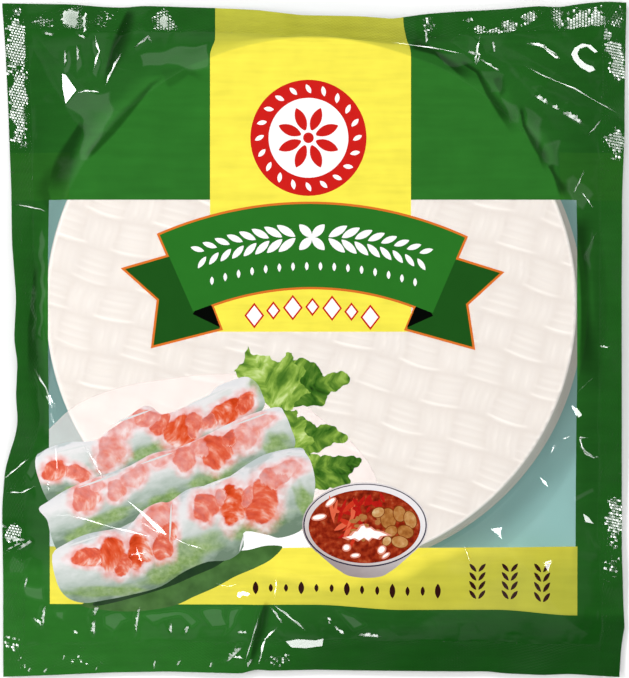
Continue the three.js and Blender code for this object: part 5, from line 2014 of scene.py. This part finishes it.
def back_film():
    """The back film: green, with a pale teal panel that shows through the window."""
    half_width, half_length = PACK_WIDTH / 2, PACK_LENGTH / 2
    panel = rectangle(*TEAL_PANEL)
    rings = [resampled(outline, BACK_STEP)
             for outline in (rectangle(-half_width, -half_length, half_width, half_length), panel)]
    columns, rows = (np.arange(-half + BACK_STEP, half - BACK_STEP / 2, BACK_STEP).tolist()
                     for half in (half_width, half_length))
    flat, faces = cut_flat(rings, [(s, t) for s in columns for t in rows], 1e-3)
    s, t = flat[:, 0], flat[:, 1]
    x, y = place_on_pack(s, t)
    _, back = film_heights(s, t, x, y)
    place = np.column_stack([x, y, back])
    mesh = make_mesh("back_film_print", place, faces.tolist(), vertex_normals(place, faces))
    add_film_map(mesh, s, t)
    _, to_seal, _, _ = slack_film(s, t, x, y)
    add_values(mesh, "seal", 0.1 * rise(-0.3, 0.5, -to_seal))
    centre = flat[faces].mean(1)
    mesh.materials.append(plain_ink("bopp_back_film_green_ink", "#1f6122"))
    mesh.materials.append(plain_ink("bopp_back_film_teal_ink", "teal", "#789e9c", 0.6, 30.0))
    mesh.polygons.foreach_set("material_index", inside(panel, centre[:, 0], centre[:, 1]).astype(np.int32))
    return mesh


# ---------------------------------------------------------------------------------------------
# The studio
# ---------------------------------------------------------------------------------------------

# What the image's longer side shows at the height of the top sheet, in metres.
SEEN_LENGTH = 0.2804
VIEW_CENTRE = (0.0004, -0.0001)
SENSOR = 36.0
LIGHT_LENGTH = 0.52
LIGHT_WIDTH = 0.075
# Azimuth in degrees from +X and relative strength of each strip light: stronger at the upper left.
STRIP_LIGHTS = [(180, 1.5), (135, 1.35), (90, 1.15), (45, 0.8), (0, 0.65), (315, 0.55), (270, 0.7),
                (225, 0.9)]
# The angles from a soft panel's middle between which it fades out.
PANEL_EDGE = (math.cos(math.radians(13)), math.cos(math.radians(6)))


def make_camera(distance):
    """A camera straight above the pack, whose lens keeps the pack's size at any distance."""
    data = bpy.data.cameras.new("camera")
    data.sensor_width = SENSOR
    data.lens = SENSOR * (distance - STACK_TOP * MM) / SEEN_LENGTH
    data.clip_end = 20
    camera = bpy.data.objects.new("camera", data)
    camera.location = (*VIEW_CENTRE, distance)
    bpy.context.scene.collection.objects.link(camera)
    bpy.context.scene.camera = camera


def make_floor():
    """A large white board under the pack."""
    half = 3.0
    mesh = bpy.data.meshes.new("floor")
    mesh.from_pydata([(x, y, 0) for x, y in rectangle(-half, -half, half, half)], [], [(0, 1, 2, 3)])
    # Matt white paint on board: even and bright, with hardly any shine.
    material, add = new_material("painted_white_board")
    add("OutputMaterial", add("BsdfPrincipled", {
        "Base Color": linear("#fbfbfb"), "Roughness": 0.9, "Specular IOR Level": 0.1}))
    mesh.materials.append(material)
    floor = bpy.data.objects.new("floor", mesh)
    bpy.context.scene.collection.objects.link(floor)
    floor.location.z = -0.0002


def make_room(level):
    """A dim room with pale and dark parts, darkest overhead, so that flat film mirrors nothing and
    tilted film mirrors patches of different brightness."""
    world = bpy.data.worlds.new("studio_room")
    bpy.context.scene.world = world
    world.use_nodes = True
    world.node_tree.nodes.clear()
    add = functools.partial(add_node, world.node_tree)
    direction = add("TexCoord", out="Generated")
    up = add("SeparateXYZ", direction, out="Z")
    overhead = add("MapRange", up, 0.93, 0.995, interpolation_type="SMOOTHSTEP")
    parts = add("TexNoise", direction, {"Scale": 3.6, "Detail": 1.0})
    patches = add("MapRange", parts, 0.44, 0.64, interpolation_type="SMOOTHSTEP")
    bright = add("Math MULTIPLY_ADD", patches, 1.8, 0.25)
    strength = add("Math MULTIPLY", add("Math MULTIPLY", add("Math SUBTRACT", 1.0, overhead), bright), level)
    for azimuth, from_top, radiance in SOFT_PANELS.values():
        facing = add("VectorMath DOT_PRODUCT", direction, toward_panel(azimuth, from_top), out="Value")
        panel = add("MapRange", facing, *PANEL_EDGE, interpolation_type="SMOOTHSTEP")
        strength = add("Math MULTIPLY_ADD", panel, radiance, strength)
    add("OutputWorld", add("Background", (1, 1, 1, 1), strength))


def make_lights(level):
    """A ring of strip lights that lie along a circle and face its middle."""
    for azimuth, strength in STRIP_LIGHTS:
        data = bpy.data.lights.new(f"strip_{azimuth}", "AREA")
        data.shape = "RECTANGLE"
        data.size, data.size_y = LIGHT_LENGTH, LIGHT_WIDTH
        data.energy = math.pi * level * strength * LIGHT_WIDTH * LIGHT_LENGTH
        light = bpy.data.objects.new(f"strip_{azimuth}", data)
        turn = math.radians(azimuth)
        place = Vector((LIGHT_RADIUS * math.cos(turn), LIGHT_RADIUS * math.sin(turn), LIGHT_HEIGHT)) * MM
        light.location = place
        light.rotation_euler = place.to_track_quat("Z", "Y").to_euler()
        bpy.context.scene.collection.objects.link(light)


# ---------------------------------------------------------------------------------------------
# Settings that a user would change
# ---------------------------------------------------------------------------------------------

def print_colour(name, description, code):
    """A colour setting whose default is a hex colour."""
    return FloatVectorProperty(name=name, description=description, subtype="COLOR", size=4,
                               default=linear(code), min=0, max=1)


class RicePackSheets(bpy.types.PropertyGroup):
    """The relief of the top sheet"""
    strip_pitch: FloatProperty(name="Mat strip", description="Width of a strip of the bamboo mat",
                               default=STRIP_PITCH * MM, min=0.002, unit="LENGTH")
    weave_depth: FloatProperty(name="Weave depth", description="Depth of the mat's print in the sheet",
                               default=WEAVE_DEPTH * MM, min=0, max=0.0002, unit="LENGTH")


class RicePackPrint(bpy.types.PropertyGroup):
    """Colours of the print"""
    green: print_colour("Green", "Ground colour where it lies on the stack", "#2a6a25")
    yellow: print_colour("Yellow", "The band and the strip where they lie on the stack", "#eadd4b")
    ribbon_green: print_colour("Ribbon", "The ribbon's own green", "#297024")
    orange: print_colour("Orange", "The line round the ribbon", "#d67028")
    red: print_colour("Red", "The badge and the diamonds", "#c71f1b")
    teal: print_colour("Teal", "The panel on the back film", "#95bcb8")


class RicePackStudio(bpy.types.PropertyGroup):
    """Camera and light"""
    camera_distance: FloatProperty(name="Camera distance", description="Camera height above the floor",
                                   default=EYE_HEIGHT * MM, min=0.5, unit="LENGTH")
    key_level: FloatProperty(name="Key light", description="Radiance of the strip lights",
                             default=40.0, min=0)
    fill_level: FloatProperty(name="Fill light", description="Radiance of the room", default=0.18, min=0)


# ---------------------------------------------------------------------------------------------
# Operators
# ---------------------------------------------------------------------------------------------

class RICEPACK_OT_sheets(bpy.types.Operator):
    """Make every sheet of the stack"""
    bl_idname = "rice_pack.sheets"
    bl_label = "Rice paper sheets"

    def execute(self, context):
        material = paper_material()
        for number, node in enumerate(SHEET_NODES, 1):
            mesh = top_sheet(node) if node == SHEET_NODES[-1] else lower_sheet(node, number)
            mesh.materials.append(material)
            add_piece(mesh.name, mesh, "rice_paper", node)
        return {"FINISHED"}


class RICEPACK_OT_back_film(bpy.types.Operator):
    """Make the back film with its printed panel"""
    bl_idname = "rice_pack.back_film"
    bl_label = "Back film"

    def execute(self, context):
        add_piece("back_film_print", back_film(), "back_film", "back_film")
        return {"FINISHED"}


class RICEPACK_OT_window(bpy.types.Operator):
    """Make the clear window of the front film"""
    bl_idname = "rice_pack.window"
    bl_label = "Window"

    def execute(self, context):
        film_piece("front_film_window")
        return {"FINISHED"}


class RICEPACK_OT_ground(bpy.types.Operator):
    """Make the green and yellow grounds of the front film"""
    bl_idname = "rice_pack.ground"
    bl_label = "Green and yellow print"

    def execute(self, context):
        film_piece("front_film_green_print_upper")
        film_piece("front_film_green_print_lower")
        film_piece("front_film_yellow_print")
        return {"FINISHED"}


class RICEPACK_OT_ribbon(bpy.types.Operator):
    """Make the printed ribbon and the round badge"""
    bl_idname = "rice_pack.ribbon"
    bl_label = "Ribbon and badge"

    def execute(self, context):
        film_piece("front_film_ribbon")
        film_piece("front_film_badge")
        return {"FINISHED"}


class RICEPACK_OT_picture(bpy.types.Operator):
    """Make the printed serving picture"""
    bl_idname = "rice_pack.picture"
    bl_label = "Serving picture"

    def execute(self, context):
        film_piece("front_film_serving_picture")
        return {"FINISHED"}


class RICEPACK_OT_stage(bpy.types.Operator):
    """Make the floor, the lights and the camera"""
    bl_idname = "rice_pack.stage"
    bl_label = "Studio"

    def execute(self, context):
        settings = context.scene.rice_pack_studio
        make_floor()
        make_room(settings.fill_level)
        make_lights(settings.key_level)
        make_camera(settings.camera_distance)
        context.scene.view_settings.view_transform = "Standard"
        return {"FINISHED"}


class RICEPACK_PT_panel(bpy.types.Panel):
    """The steps that make the pack"""
    bl_label = "Rice paper pack"
    bl_space_type = "VIEW_3D"
    bl_region_type = "UI"
    bl_category = "Rice paper"

    def draw(self, context):
        for operator in OPERATORS:
            self.layout.operator(operator.bl_idname)
        for key, group in SETTINGS.items():
            for name in group.__annotations__:
                self.layout.prop(getattr(context.scene, key), name)


OPERATORS = (RICEPACK_OT_sheets, RICEPACK_OT_back_film, RICEPACK_OT_window, RICEPACK_OT_ground,
             RICEPACK_OT_ribbon, RICEPACK_OT_picture, RICEPACK_OT_stage)
SETTINGS = {
    "rice_pack_sheets": RicePackSheets,
    "rice_pack_print": RicePackPrint,
    "rice_pack_studio": RicePackStudio,
}
CLASSES = (*SETTINGS.values(), *OPERATORS, RICEPACK_PT_panel)


def register():
    for cls in CLASSES:
        bpy.utils.register_class(cls)
    for key, group in SETTINGS.items():
        setattr(bpy.types.Scene, key, PointerProperty(type=group))


def unregister():
    for key in SETTINGS:
        delattr(bpy.types.Scene, key)
    for cls in reversed(CLASSES):
        bpy.utils.unregister_class(cls)


def main():
    register()
    bpy.ops.rice_pack.sheets()
    bpy.ops.rice_pack.back_film()
    bpy.ops.rice_pack.window()
    bpy.ops.rice_pack.ground()
    bpy.ops.rice_pack.ribbon()
    bpy.ops.rice_pack.picture()
    bpy.ops.rice_pack.stage()


if __name__ == "__main__":
    main()
